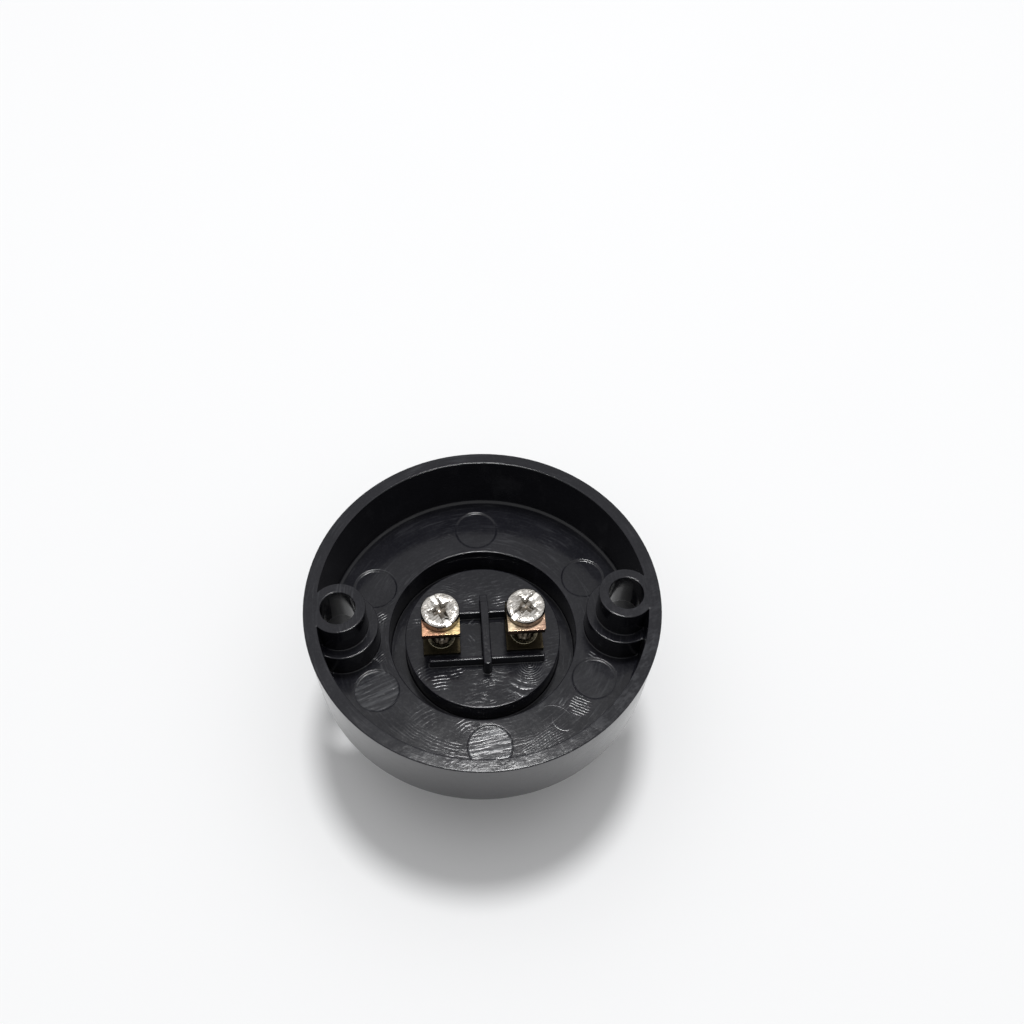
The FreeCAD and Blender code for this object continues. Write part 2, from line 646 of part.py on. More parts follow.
for item in DOC.Objects:
    if "Invalid" in item.State or "Error" in item.State:
        raise ValueError(f"{item.Name} did not build: {item.State}")
for node in nodes:
    if node.Shape.isNull() or not node.Shape.isValid():
        raise ValueError(f"{node.Label} has no valid shape")
    if len(node.Shape.Solids) != 1:
        raise ValueError(f"{node.Label} is not one solid")
    node.Shape.exportStep(f"parts/{node.Label}.step")
    box = node.Shape.BoundBox
    print(node.Label, "volume", round(node.Shape.Volume, 1), "z", round(box.ZMin, 2), round(box.ZMax, 2))
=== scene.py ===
"""Looks of a round lamp holder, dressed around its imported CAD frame.

The holder stands base up on the lip of its lamp socket, with its open back
towards the camera. Sizes in the classes are millimetres and angles are
degrees, unless a docstring says otherwise. Meshes are metres, in the frame
of the CAD model.
"""

from __future__ import annotations

import logging
import math
from dataclasses import dataclass
from enum import Enum
from functools import partial, reduce
from typing import Callable, Iterable, Mapping, Sequence, Union

import bmesh
import bpy
from mathutils import Matrix, Vector

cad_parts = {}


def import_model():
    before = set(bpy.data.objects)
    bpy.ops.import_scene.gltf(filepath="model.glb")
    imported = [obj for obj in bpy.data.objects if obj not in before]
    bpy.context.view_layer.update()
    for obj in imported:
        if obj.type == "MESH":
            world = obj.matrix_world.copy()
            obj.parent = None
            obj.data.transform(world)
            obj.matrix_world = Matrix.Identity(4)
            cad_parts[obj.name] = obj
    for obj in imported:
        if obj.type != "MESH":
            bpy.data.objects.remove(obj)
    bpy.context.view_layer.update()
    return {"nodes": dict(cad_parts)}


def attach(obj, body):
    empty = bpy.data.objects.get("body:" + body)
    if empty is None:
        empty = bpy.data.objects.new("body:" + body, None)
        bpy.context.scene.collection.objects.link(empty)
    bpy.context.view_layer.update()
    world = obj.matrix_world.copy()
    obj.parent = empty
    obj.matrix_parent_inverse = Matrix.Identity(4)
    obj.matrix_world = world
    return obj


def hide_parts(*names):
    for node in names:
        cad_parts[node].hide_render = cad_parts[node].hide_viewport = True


LOG = logging.getLogger("lamp_holder")
MM = 0.001
FULL_TURN = 2.0 * math.pi
QUARTER_TURN = math.pi / 2.0
BACKDROP_RAYS = ("Is Camera Ray", "Is Glossy Ray", "Is Transmission Ray")

Colour = tuple[float, float, float]
Point = tuple[float, float, float]
Material = bpy.types.Material
Piece = bpy.types.Object
CadNodes = dict[str, bpy.types.Object]
Socket = bpy.types.NodeSocket
Number = Union[float, Socket]
Value = Union[Number, Colour, Point]
Inputs = Mapping[Union[int, str], Value]

WHITE: Colour = (1.0, 1.0, 1.0)
# Lighter black of scuffs and tool marks, and also the painted sheen of the near rim.
SCUFF_AND_SHEEN_BLACK: Colour = (0.045, 0.046, 0.052)
# Light grey of ground and ringed marks: real marks, coloured lighter as painted glint.
GROUND_AND_GLINT_BLACK: Colour = (0.105, 0.109, 0.117)


class Side(Enum):
    """The two sides of the holder, seen from its open back."""

    LEFT = "left"
    RIGHT = "right"

    @property
    def sign(self) -> float:
        """Gives the sign of X on this side."""
        return -1.0 if self is Side.LEFT else 1.0


class Slot(Enum):
    """Names of the record's material slots, which nothing here uses."""

    SHELL = "shell_brass"
    SCREW = "plated_steel"


SLOT_DIRECTION = {Side.LEFT: 115.0, Side.RIGHT: 45.0}


# Patterns


@dataclass(frozen=True)
class Fade:
    """A smooth change of one number over another, held at both ends.

    Attributes:
        start: Where it begins.
        end: Where it is complete.
        low: Result at the start.
        high: Result at the end.
    """

    start: float
    end: float
    low: float = 0.0
    high: float = 1.0


@dataclass(frozen=True)
class Noise:
    """An even, cloudy pattern.

    Attributes:
        scale: Features per millimetre.
        detail: Number of finer layers.
        roughness: Weight of the finer layers.
    """

    scale: float
    detail: float = 2.0
    roughness: float = 0.5


@dataclass(frozen=True)
class Streaks:
    """A cloudy pattern drawn out along a direction.

    Attributes:
        along: Features per millimetre along the direction.
        across: Features per millimetre across it.
        detail: Number of finer layers.
        roughness: Weight of the finer layers.
    """

    along: float
    across: float
    detail: float = 3.0
    roughness: float = 0.5


@dataclass(frozen=True)
class Mark:
    """What one kind of mark does to the moulding.

    Attributes:
        colour: Its colour.
        tone: Share of that colour, from 0 to 1.
        gloss: Roughness that it adds.
        height: Its height in the relief, from 0 to 1.
    """

    colour: Colour
    tone: float
    gloss: float
    height: float = 0.0


# Node trees


class NodeTree:
    """A node tree, built by calls that add nodes and give sockets."""

    MIX_FLOAT_INPUTS = (0, 2, 3)
    MIX_FLOAT_OUTPUT = 0
    MIX_COLOUR_INPUTS = (0, 6, 7)
    MIX_COLOUR_OUTPUT = 2

    def __init__(self, tree: bpy.types.NodeTree) -> None:
        """Empties the tree that it works in."""
        self.tree = tree
        tree.nodes.clear()

    def feed(self, socket: Socket, value: Value) -> None:
        """Links a socket to another, or sets its constant.

        Args:
            socket: Input socket.
            value: Output socket, number, colour or vector.
        """
        if isinstance(value, bpy.types.NodeSocket):
            self.tree.links.new(value, socket)
            return
        if isinstance(value, tuple) and socket.type == "RGBA":
            value = (*value, 1.0)
        socket.default_value = value

    def node(self, kind: str, inputs: Inputs, **settings: Union[str, int]) -> bpy.types.Node:
        """Adds a node.

        Args:
            kind: Blender's name of the node, after ShaderNode.
            inputs: Values of its inputs, by number or name.
            settings: Values of its own settings.

        Returns:
            The node.
        """
        node = self.tree.nodes.new(f"ShaderNode{kind}")
        for name, setting in settings.items():
            setattr(node, name, setting)
        for key, value in inputs.items():
            self.feed(node.inputs[key], value)
        return node

    def parts(self, vector: Socket) -> tuple[Socket, ...]:
        """Splits a vector into its three numbers."""
        return tuple(self.node("SeparateXYZ", {0: vector}).outputs)

    def joined(self, *numbers: Number) -> Socket:
        """Joins three numbers into a vector."""
        return self.node("CombineXYZ", dict(enumerate(numbers))).outputs[0]

    def math(self, operation: str, *operands: Number) -> Socket:
        """Gives the result of one of Blender's math operations."""
        return self.node("Math", dict(enumerate(operands)), operation=operation).outputs[0]

    def product(self, *factors: Number) -> Socket:
        """Multiplies numbers."""
        return reduce(partial(self.math, "MULTIPLY"), factors)

    def total(self, *terms: Number) -> Socket:
        """Adds numbers."""
        return reduce(partial(self.math, "ADD"), terms)

    def largest(self, *values: Number) -> Socket:
        """Takes the largest of some numbers."""
        return reduce(partial(self.math, "MAXIMUM"), values)

    def between(self, factor: Number, first: Number, second: Number) -> Socket:
        """Mixes two numbers, the factor being the share of the second."""
        inputs = dict(zip(self.MIX_FLOAT_INPUTS, (factor, first, second)))
        return self.node("Mix", inputs, data_type="FLOAT").outputs[self.MIX_FLOAT_OUTPUT]

    def mixed(self, factor: Number, first: Value, second: Value) -> Socket:
        """Mixes two colours, the factor being the share of the second."""
        inputs = dict(zip(self.MIX_COLOUR_INPUTS, (factor, first, second)))
        return self.node("Mix", inputs, data_type="RGBA").outputs[self.MIX_COLOUR_OUTPUT]

    def backdrop_rays(self) -> Socket:
        """Gives 1 for rays that see the background, and 0 for the others."""
        path = self.node("LightPath", {})
        return self.largest(*(path.outputs[kind] for kind in BACKDROP_RAYS))


class Graph(NodeTree):
    """The node tree of one finish, in the piece's own millimetres."""

    def __init__(self, name: str) -> None:
        """Starts a material with the piece's coordinates.

        Args:
            name: Name of the material.
        """
        self.material = bpy.data.materials.new(name)
        self.material.use_nodes = True
        super().__init__(self.material.node_tree)
        source = self.node("TexCoord", {}).outputs
        place = {0: source["Object"], "Scale": 1.0 / MM}
        self.place = self.node("VectorMath", place, operation="SCALE").outputs[0]
        self.x, self.y, self.z = self.parts(self.place)
        self.flat = self.joined(self.x, self.y, 0.0)
        self.facing = self.parts(source["Normal"])[2]

    def distance(self, x: float, y: float) -> Socket:
        """Gives the distance from an upright axis."""
        ends = {0: self.flat, 1: (x, y, 0.0)}
        return self.node("VectorMath", ends, operation="DISTANCE").outputs["Value"]

    def fade(self, value: Number, kind: Fade) -> Socket:
        """Gives a smooth change of a value."""
        inputs = dict(enumerate((value, kind.start, kind.end, kind.low, kind.high)))
        return self.node("MapRange", inputs, interpolation_type="SMOOTHSTEP").outputs[0]

    def noise(self, kind: Noise, place: Union[Socket, None] = None) -> Socket:
        """Draws a cloudy pattern.

        Args:
            kind: The pattern.
            place: Vector to read it at, or None for the piece's place.

        Returns:
            A socket around 0.5.
        """
        inputs = {
            "Vector": self.place if place is None else place,
            "Scale": kind.scale,
            "Detail": kind.detail,
            "Roughness": kind.roughness,
        }
        return self.node("TexNoise", inputs).outputs["Fac"]

    def streaks(self, kind: Streaks, direction: float) -> Socket:
        """Draws streaks along a direction in the XY plane.

        Args:
            kind: The pattern.
            direction: Angle of the direction.

        Returns:
            A socket around 0.5.
        """
        angle = math.radians(direction)
        forward = self.total(self.product(self.x, math.cos(angle)), self.product(self.y, math.sin(angle)))
        sideways = self.total(self.product(self.y, math.cos(angle)), self.product(self.x, -math.sin(angle)))
        place = self.joined(self.product(forward, kind.along), self.product(sideways, kind.across), self.z)
        return self.noise(Noise(1.0, kind.detail, kind.roughness), place)

    def rounded(self, radius: float, samples: int) -> Socket:
        """Gives the normal with sharp edges shaded round."""
        return self.node("Bevel", {"Radius": radius * MM}, samples=samples).outputs["Normal"]

    def relief(self, *layers: tuple[Number, float], normal: Union[Socket, None] = None) -> Socket:
        """Lays reliefs over each other.

        Args:
            layers: Height from 0 to 1 and the depth of a height of 1, lowest layer first.
            normal: Normal of the surface below them, or None for its own.

        Returns:
            The normal socket.
        """
        for height, depth in layers:
            inputs = {"Height": height, "Distance": depth * MM}
            if normal is not None:
                inputs["Normal"] = normal
            normal = self.node("Bump", inputs).outputs["Normal"]
        return normal

    def surface(self, **inputs: Union[Number, Colour]) -> Material:
        """Ends the tree with a principled shader.

        Args:
            inputs: Values of its inputs, with spaces in names as underscores.

        Returns:
            The finished material.
        """
        shader = self.node("BsdfPrincipled", {name.replace("_", " "): inputs[name] for name in inputs})
        self.node("OutputMaterial", {"Surface": shader.outputs[0]})
        return self.material


# Finishes


@dataclass(frozen=True)
class CutterPatch:
    """A patch of ring marks that a cutter left in the mould.

    Attributes:
        x: Middle of the patch.
        y: Middle of the patch.
        reach: Radius of the patch.
        ring_x: Centre of its rings.
        ring_y: Centre of its rings.
        spacing: Distance between rings.
        strength: How clearly it shows as painted glint, from 0 to 1.
    """

    x: float
    y: float
    reach: float
    ring_x: float
    ring_y: float
    spacing: float
    strength: float


@dataclass(frozen=True)
class CircleMark:
    """A thin circle in the floor, clearest towards one side.

    Attributes:
        x: Its centre.
        y: Its centre.
        radius: Its radius.
        width: Half the width of its line.
        towards: Direction in which it is clearest.
        strength: How clearly it shows, from 0 to 1.
    """

    x: float
    y: float
    radius: float
    width: float
    towards: float
    strength: float


@dataclass(frozen=True)
class EjectorFace:
    """The face of one ejector mark.

    Attributes:
        angle: Place of the mark around the base.
        grain: Direction of its grinding marks.
        glint: How bright the grinding shows as painted glint, from 0 to 1.
    """

    angle: float
    grain: float
    glint: float


@dataclass(frozen=True)
class MouldedPlastic:
    """Black satin thermoplastic with the marks of its mould."""

    # Plain surface
    name: str = "black_moulding"
    colour: Colour = (0.0072, 0.0073, 0.0104)
    pale: Colour = (0.018, 0.018, 0.023)
    roughness: float = 0.12
    specular: float = 0.26
    edge_radius: float = 0.35
    edge_samples: int = 8
    cloud: Noise = Noise(0.16, 4.0)
    cloud_tone: Fade = Fade(0.35, 0.75, 0.0, 0.3)
    cloud_gloss: Fade = Fade(0.3, 0.7, -0.01, 0.02)
    wave: Noise = Noise(0.35)
    wave_depth: float = 0.022
    speckle: Noise = Noise(1.9, 4.0, 0.65)
    speckle_fade: Fade = Fade(0.46, 0.72)
    speckle_depth: float = 0.0015

    # What each kind of mark does
    mark_depth: float = 0.02
    speckled: Mark = Mark(SCUFF_AND_SHEEN_BLACK, 0.15, 0.02)
    tooled: Mark = Mark(SCUFF_AND_SHEEN_BLACK, 0.40, 0.03, 0.2)
    # Rim scuffs, lightened towards the near side as painted sheen.
    brushed_and_sheen: Mark = Mark(SCUFF_AND_SHEEN_BLACK, 0.5, 0.015, 0.2)
    # Ring marks and ground faces are real marks; their light grey colour is painted glint.
    ringed_and_glint: Mark = Mark(GROUND_AND_GLINT_BLACK, 0.8, 0.06, 1.0)
    ground_and_glint: Mark = Mark(GROUND_AND_GLINT_BLACK, 1.0, 0.015, 0.7)

    # Heights of the flat faces
    rim_z: float = 48.0
    rim_reach: float = 0.3
    floor_z: float = 33.0
    mark_z: float = 32.8
    disc_z: float = 31.2
    level_reach: float = 0.1

    # Fine streaks of the turned mould, round the floor and across the disc
    arcs: Noise = Noise(1.0, 3.0, 0.6)
    arcs_around: float = 5.0
    arcs_outward: float = 2.1
    disc_streaks: Streaks = Streaks(0.55, 2.2, 3.0, 0.6)
    disc_direction: float = 12.0
    streak_fade: Fade = Fade(0.50, 0.68)
    worn: Noise = Noise(0.14)
    worn_fade: Fade = Fade(0.42, 0.60, 0.25, 1.0)

    # Mottled rim scuffs, with painted sheen that makes them clearest on the near side
    rim_streaks: Streaks = Streaks(0.7, 1.6, 4.0, 0.6)
    rim_direction: float = 30.0
    rim_blotch: Noise = Noise(0.35, 3.0)
    rim_fade: Fade = Fade(0.90, 1.22)
    near_sheen_x: float = 0.5
    near_sheen_y: float = -0.85
    near_sheen_fade: Fade = Fade(6.0, 34.0, 0.05, 1.0)

    # Ground faces of the ejector marks, lighter in streaks as painted glint
    mark_ring: float = 26.4
    mark_radius: float = 4.7
    ground_streaks: Streaks = Streaks(0.12, 1.5, 3.0, 0.62)
    ground_fade: Fade = Fade(0.44, 0.64, 0.16, 1.0)
    faces: tuple[EjectorFace, ...] = (
        EjectorFace(208.0, 22.0, 0.42),
        EjectorFace(270.0, 9.0, 0.80),
        EjectorFace(332.0, 30.0, 0.06),
    )

    # Ring marks of the cutter, lighter as painted glint
    wobble: Noise = Noise(0.55)
    wobble_phase: float = 4.0
    broken: Noise = Noise(0.8)
    broken_fade: Fade = Fade(0.38, 0.60, 0.25, 1.0)
    ring_fade: Fade = Fade(0.1, 1.0)
    patch_core: float = 0.25
    floor_patches: tuple[CutterPatch, ...] = (
        CutterPatch(19.6, -18.4, 3.0, 30.9, 4.0, 0.62, 1.0),
        CutterPatch(16.1, -17.4, 1.3, 7.7, -12.0, 0.8, 0.9),
        CutterPatch(12.6, -25.8, 4.2, 27.6, -51.9, 0.55, 0.9),
        CutterPatch(8.7, -27.3, 2.6, 22.7, -53.7, 0.5, 0.8),
        CutterPatch(-13.3, -19.0, 4.2, -8.7, -26.8, 1.0, 0.22),
        CutterPatch(-5.2, -21.3, 2.3, -2.3, -26.6, 0.8, 0.6),
        CutterPatch(-12.5, -24.9, 3.2, -8.5, -17.9, 0.7, 0.4),
        CutterPatch(-16.1, -22.0, 2.6, -11.1, -15.8, 0.6, 0.35),
        CutterPatch(-8.4, -26.7, 3.0, -5.8, -19.1, 0.7, 0.35),
        CutterPatch(-22.8, -4.5, 1.9, -13.1, -16.0, 0.5, 0.7),
        CutterPatch(-22.2, 4.9, 2.2, -15.2, -4.8, 0.6, 0.8),
        CutterPatch(-20.6, 9.3, 1.9, -13.0, 0.0, 0.6, 0.5),
        CutterPatch(16.6, 22.5, 3.2, 8.6, 9.9, 0.8, 0.2),
        CutterPatch(23.5, -6.6, 1.1, 17.5, -14.7, 0.7, 1.0),
        CutterPatch(-8.6, 18.9, 4.0, 0.0, 0.9, 0.9, 0.2),
    )
    disc_patches: tuple[CutterPatch, ...] = (
        CutterPatch(9.9, -9.5, 3.6, 9.8, -7.1, 0.52, 0.8),
        CutterPatch(7.5, -12.9, 3.6, 9.7, -6.8, 1.6, 1.0),
        CutterPatch(2.7, -9.8, 2.4, 6.7, 3.7, 1.0, 0.5),
        CutterPatch(-9.6, -10.4, 2.7, -6.2, -50.3, 0.8, 0.95),
        CutterPatch(-6.3, -8.0, 2.1, -0.1, -37.4, 0.8, 0.7),
        CutterPatch(-2.6, -11.8, 1.5, -1.3, 8.2, 1.5, 0.8),
        CutterPatch(0.9, -10.8, 2.2, 2.5, -22.7, 0.5, 0.3),
        CutterPatch(13.7, -7.1, 1.6, 17.3, -18.5, 0.6, 0.6),
        CutterPatch(-13.4, -8.1, 2.8, -8.6, -16.8, 0.7, 0.35),
        CutterPatch(-14.4, 4.4, 1.6, -13.6, -15.6, 0.8, 0.5),
        CutterPatch(-2.2, 3.7, 1.1, 1.7, -0.9, 0.9, 0.9),
        CutterPatch(-2.4, -0.3, 1.3, -8.6, -5.3, 0.9, 0.8),
        CutterPatch(-2.3, 9.2, 2.6, 2.4, -10.2, 0.7, 0.5),
        CutterPatch(4.4, 8.8, 2.6, 7.2, -11.0, 0.7, 0.7),
        CutterPatch(-7.4, 11.6, 2.8, -8.9, 6.6, 0.6, 0.35),
        CutterPatch(-0.6, -15.2, 2.4, 5.7, 14.2, 0.9, 0.35),
    )

    # Thin circles in the floor, drawn lighter as painted glint
    line_core: float = 0.3
    circle_reach: float = 1.3
    circle_core: float = 0.5
    circles: tuple[CircleMark, ...] = (
        CircleMark(13.4, -22.5, 4.5, 0.11, 80.0, 0.14),
        CircleMark(16.2, -21.1, 2.7, 0.16, 235.0, 0.5),
        CircleMark(-23.3, 12.4, 4.95, 0.13, 95.0, 0.3),
        CircleMark(23.3, -12.4, 5.2, 0.14, 60.0, 0.09),
    )

    def material(self) -> Material:
        """Makes the material.

        Returns:
            The finished material.
        """
        graph = Graph(self.name)
        floor, disc, sunk = (self.on_level(graph, z) for z in (self.floor_z, self.disc_z, self.mark_z))
        cloud = graph.noise(self.cloud)
        speckle = graph.fade(graph.noise(self.speckle), self.speckle_fade)
        marks = (
            (speckle, self.speckled),
            (self.tooling(graph, disc), self.tooled),
            (self.brushing_and_sheen(graph), self.brushed_and_sheen),
            (self.rings(graph, floor, disc), self.ringed_and_glint),
            (graph.product(sunk, self.grinding(graph)), self.ground_and_glint),
        )
        tone = graph.mixed(graph.fade(cloud, self.cloud_tone), self.colour, self.pale)
        gloss = graph.total(self.roughness, graph.fade(cloud, self.cloud_gloss))
        height: Number = 0.0
        for mask, mark in marks:
            tone = graph.mixed(graph.product(mask, mark.tone), tone, mark.colour)
            gloss = graph.total(gloss, graph.product(mask, mark.gloss))
            height = graph.total(height, graph.product(mask, mark.height))
        normal = graph.relief(
            (speckle, self.speckle_depth),
            (graph.noise(self.wave), self.wave_depth),
            (height, self.mark_depth),
            normal=graph.rounded(self.edge_radius, self.edge_samples),
        )
        return graph.surface(
            Base_Color=tone, Roughness=gloss, Specular_IOR_Level=self.specular, Normal=normal)

    def on_level(self, graph: Graph, height: float) -> Socket:
        """Gives 1 on the flat faces at a height, and 0 elsewhere."""
        return graph.math("COMPARE", graph.z, height, self.level_reach)

    def rings(self, graph: Graph, floor: Socket, disc: Socket) -> Socket:
        """Draws the ring marks and circles of floor and disc, lighter as painted glint.

        Args:
            graph: The node tree.
            floor: Mask of the floor.
            disc: Mask of the terminal disc.

        Returns:
            A mask socket, 1 on a bright ring.
        """
        wobble = graph.product(graph.noise(self.wobble), self.wobble_phase)
        on_floor = graph.product(floor, self.patches(graph, self.floor_patches, wobble))
        on_disc = graph.product(disc, self.patches(graph, self.disc_patches, wobble))
        broken = graph.fade(graph.noise(self.broken), self.broken_fade)
        patched = graph.product(graph.largest(on_floor, on_disc), broken)
        return graph.largest(patched, graph.product(floor, self.circle_lines(graph)))

    def patches(self, graph: Graph, patches: Sequence[CutterPatch], wobble: Socket) -> Socket:
        """Draws the ring marks of some patches.

        Args:
            graph: The node tree.
            patches: The patches.
            wobble: Shift of phase that bends the rings.

        Returns:
            A mask socket, 1 on a bright ring.
        """
        result: Number = 0.0
        for patch in patches:
            core = Fade(patch.reach, patch.reach * self.patch_core, 0.0, patch.strength)
            inside = graph.fade(graph.distance(patch.x, patch.y), core)
            radius = graph.distance(patch.ring_x, patch.ring_y)
            phase = graph.math("MULTIPLY_ADD", radius, FULL_TURN / patch.spacing, wobble)
            ring = graph.fade(graph.math("SINE", phase), self.ring_fade)
            result = graph.largest(result, graph.product(inside, ring))
        return result

    def circle_lines(self, graph: Graph) -> Socket:
        """Draws the thin circles.

        Args:
            graph: The node tree.

        Returns:
            A mask socket, 1 on a clear line.
        """
        result: Number = 0.0
        for mark in self.circles:
            turn = math.radians(mark.towards)
            off = graph.math("SUBTRACT", graph.distance(mark.x, mark.y), mark.radius)
            core = Fade(mark.width, mark.width * self.line_core, 0.0, mark.strength)
            line = graph.fade(graph.math("ABSOLUTE", off), core)
            clearest = graph.distance(
                mark.x + mark.radius * math.cos(turn), mark.y + mark.radius * math.sin(turn))
            arc = Fade(mark.radius * self.circle_reach, mark.radius * self.circle_core)
            result = graph.largest(result, graph.product(line, graph.fade(clearest, arc)))
        return result

    def grinding(self, graph: Graph) -> Socket:
        """Draws the grinding marks on the ejector faces, lighter as painted glint.

        Args:
            graph: The node tree.

        Returns:
            A mask socket, 1 on a bright streak.
        """
        result: Number = 0.0
        for face in self.faces:
            turn = math.radians(face.angle)
            distance = graph.distance(self.mark_ring * math.cos(turn), self.mark_ring * math.sin(turn))
            inside = graph.math("LESS_THAN", distance, self.mark_radius)
            streak = graph.fade(graph.streaks(self.ground_streaks, face.grain), self.ground_fade)
            result = graph.largest(result, graph.product(inside, streak, face.glint))
        return result

    def brushing_and_sheen(self, graph: Graph) -> Socket:
        """Draws the rough mottled look of the flat rim, with painted sheen on the near side.

        Args:
            graph: The node tree.

        Returns:
            A mask socket, stronger on the near side, where it is painted sheen.
        """
        rim = graph.math("GREATER_THAN", graph.z, self.rim_z - self.rim_reach)
        strokes = graph.streaks(self.rim_streaks, self.rim_direction)
        mottled = graph.fade(graph.total(strokes, graph.noise(self.rim_blotch)), self.rim_fade)
        # Painted sheen: the rim is lightened towards the near side.
        near_sheen = graph.total(
            graph.product(graph.x, self.near_sheen_x), graph.product(graph.y, self.near_sheen_y))
        return graph.product(rim, mottled, graph.fade(near_sheen, self.near_sheen_fade))

    def tooling(self, graph: Graph, disc: Socket) -> Socket:
        """Draws the fine streaks that the turned mould left.

        Args:
            graph: The node tree.
            disc: Mask of the terminal disc, whose streaks are straight.

        Returns:
            A mask socket, 1 on a clear streak.
        """
        radius = graph.distance(0.0, 0.0)
        around = [
            graph.product(graph.math("DIVIDE", side, radius), self.arcs_around)
            for side in (graph.x, graph.y)
        ]
        arcs = graph.noise(self.arcs, graph.joined(*around, graph.product(radius, self.arcs_outward)))
        strokes = graph.streaks(self.disc_streaks, self.disc_direction)
        streak = graph.fade(graph.between(disc, arcs, strokes), self.streak_fade)
        return graph.product(streak, graph.fade(graph.noise(self.worn), self.worn_fade))


@dataclass(frozen=True)
class BrightPlating:
    """Nickel plating on a screw, with painted shade in its recess and on its shank, and a painted highlight
    in its slot.
    """

    name: str = "bright_nickel"
    colour: Colour = (0.50, 0.482, 0.458)
    dull: Colour = (0.25, 0.233, 0.212)
    # Near-white painted highlight on the outer parts of the slot.
    slot_highlight: Colour = (0.92, 0.90, 0.87)
    # Dark brown painted shade for the recess and for the shank below the head.
    painted_shade_brown: Colour = (0.070, 0.054, 0.037)
    roughness: float = 0.16

    # Uneven surface
    smear: Streaks = Streaks(0.8, 3.0)
    smear_direction: float = 30.0
    smear_fade: Fade = Fade(0.38, 0.66)
    mottle: Noise = Noise(1.3, 3.0)
    mottle_gloss: Fade = Fade(0.35, 0.7, -0.05, 0.12)
    fine: Noise = Noise(6.0, 3.0)
    fine_depth: float = 0.008
    wave: Noise = Noise(0.7)
    wave_depth: float = 0.10

    # Where the recess, the slot and the shank lie, by distance from the axis and by height; the recess and
    # shank get painted shade, the slot a painted highlight
    recess_radius: Fade = Fade(3.1, 2.6)
    recess_height: Fade = Fade(44.3, 43.8)
    recess_mottle: Fade = Fade(0.28, 0.50)
    recess_shade_share: float = 0.85
    recess_gloss: float = 0.15
    slot_radii: tuple[Fade, ...] = (Fade(4.05, 3.95), Fade(2.2, 2.8))
    slot_heights: tuple[Fade, ...] = (Fade(44.4, 44.3), Fade(43.1, 43.2))
    shank_height: Fade = Fade(43.1, 42.6)
    shank_shade_share: float = 0.55

    def material(self, axis_x: float) -> Material:
        """Makes the material for one screw.

        Args:
            axis_x: X of the screw's axis.

        Returns:
            The finished material.
        """
        graph = Graph(self.name)
        radius = graph.distance(axis_x, 0.0)
        mottle = graph.noise(self.mottle)
        # Painted shade in the recess, mottled.
        recess_shade = graph.product(
            graph.fade(radius, self.recess_radius),
            graph.fade(graph.z, self.recess_height),
            graph.fade(mottle, self.recess_mottle))
        slot = graph.product(
            *(graph.fade(radius, kind) for kind in self.slot_radii),
            *(graph.fade(graph.z, kind) for kind in self.slot_heights))
        # Painted shade on the shank below the head.
        shank = graph.product(graph.fade(graph.z, self.shank_height), self.shank_shade_share)
        smear = graph.fade(graph.streaks(self.smear, self.smear_direction), self.smear_fade)
        tone = graph.mixed(slot, graph.mixed(smear, self.colour, self.dull), self.slot_highlight)
        tone = graph.mixed(shank, tone, self.painted_shade_brown)
        tone = graph.mixed(graph.product(recess_shade, self.recess_shade_share), tone, self.painted_shade_brown)
        gloss = graph.total(
            self.roughness, graph.fade(mottle, self.mottle_gloss), graph.product(recess_shade, self.recess_gloss))
        normal = graph.relief(
            (graph.noise(self.fine), self.fine_depth), (graph.noise(self.wave), self.wave_depth))
        return graph.surface(Base_Color=tone, Metallic=1.0, Roughness=gloss, Normal=normal)


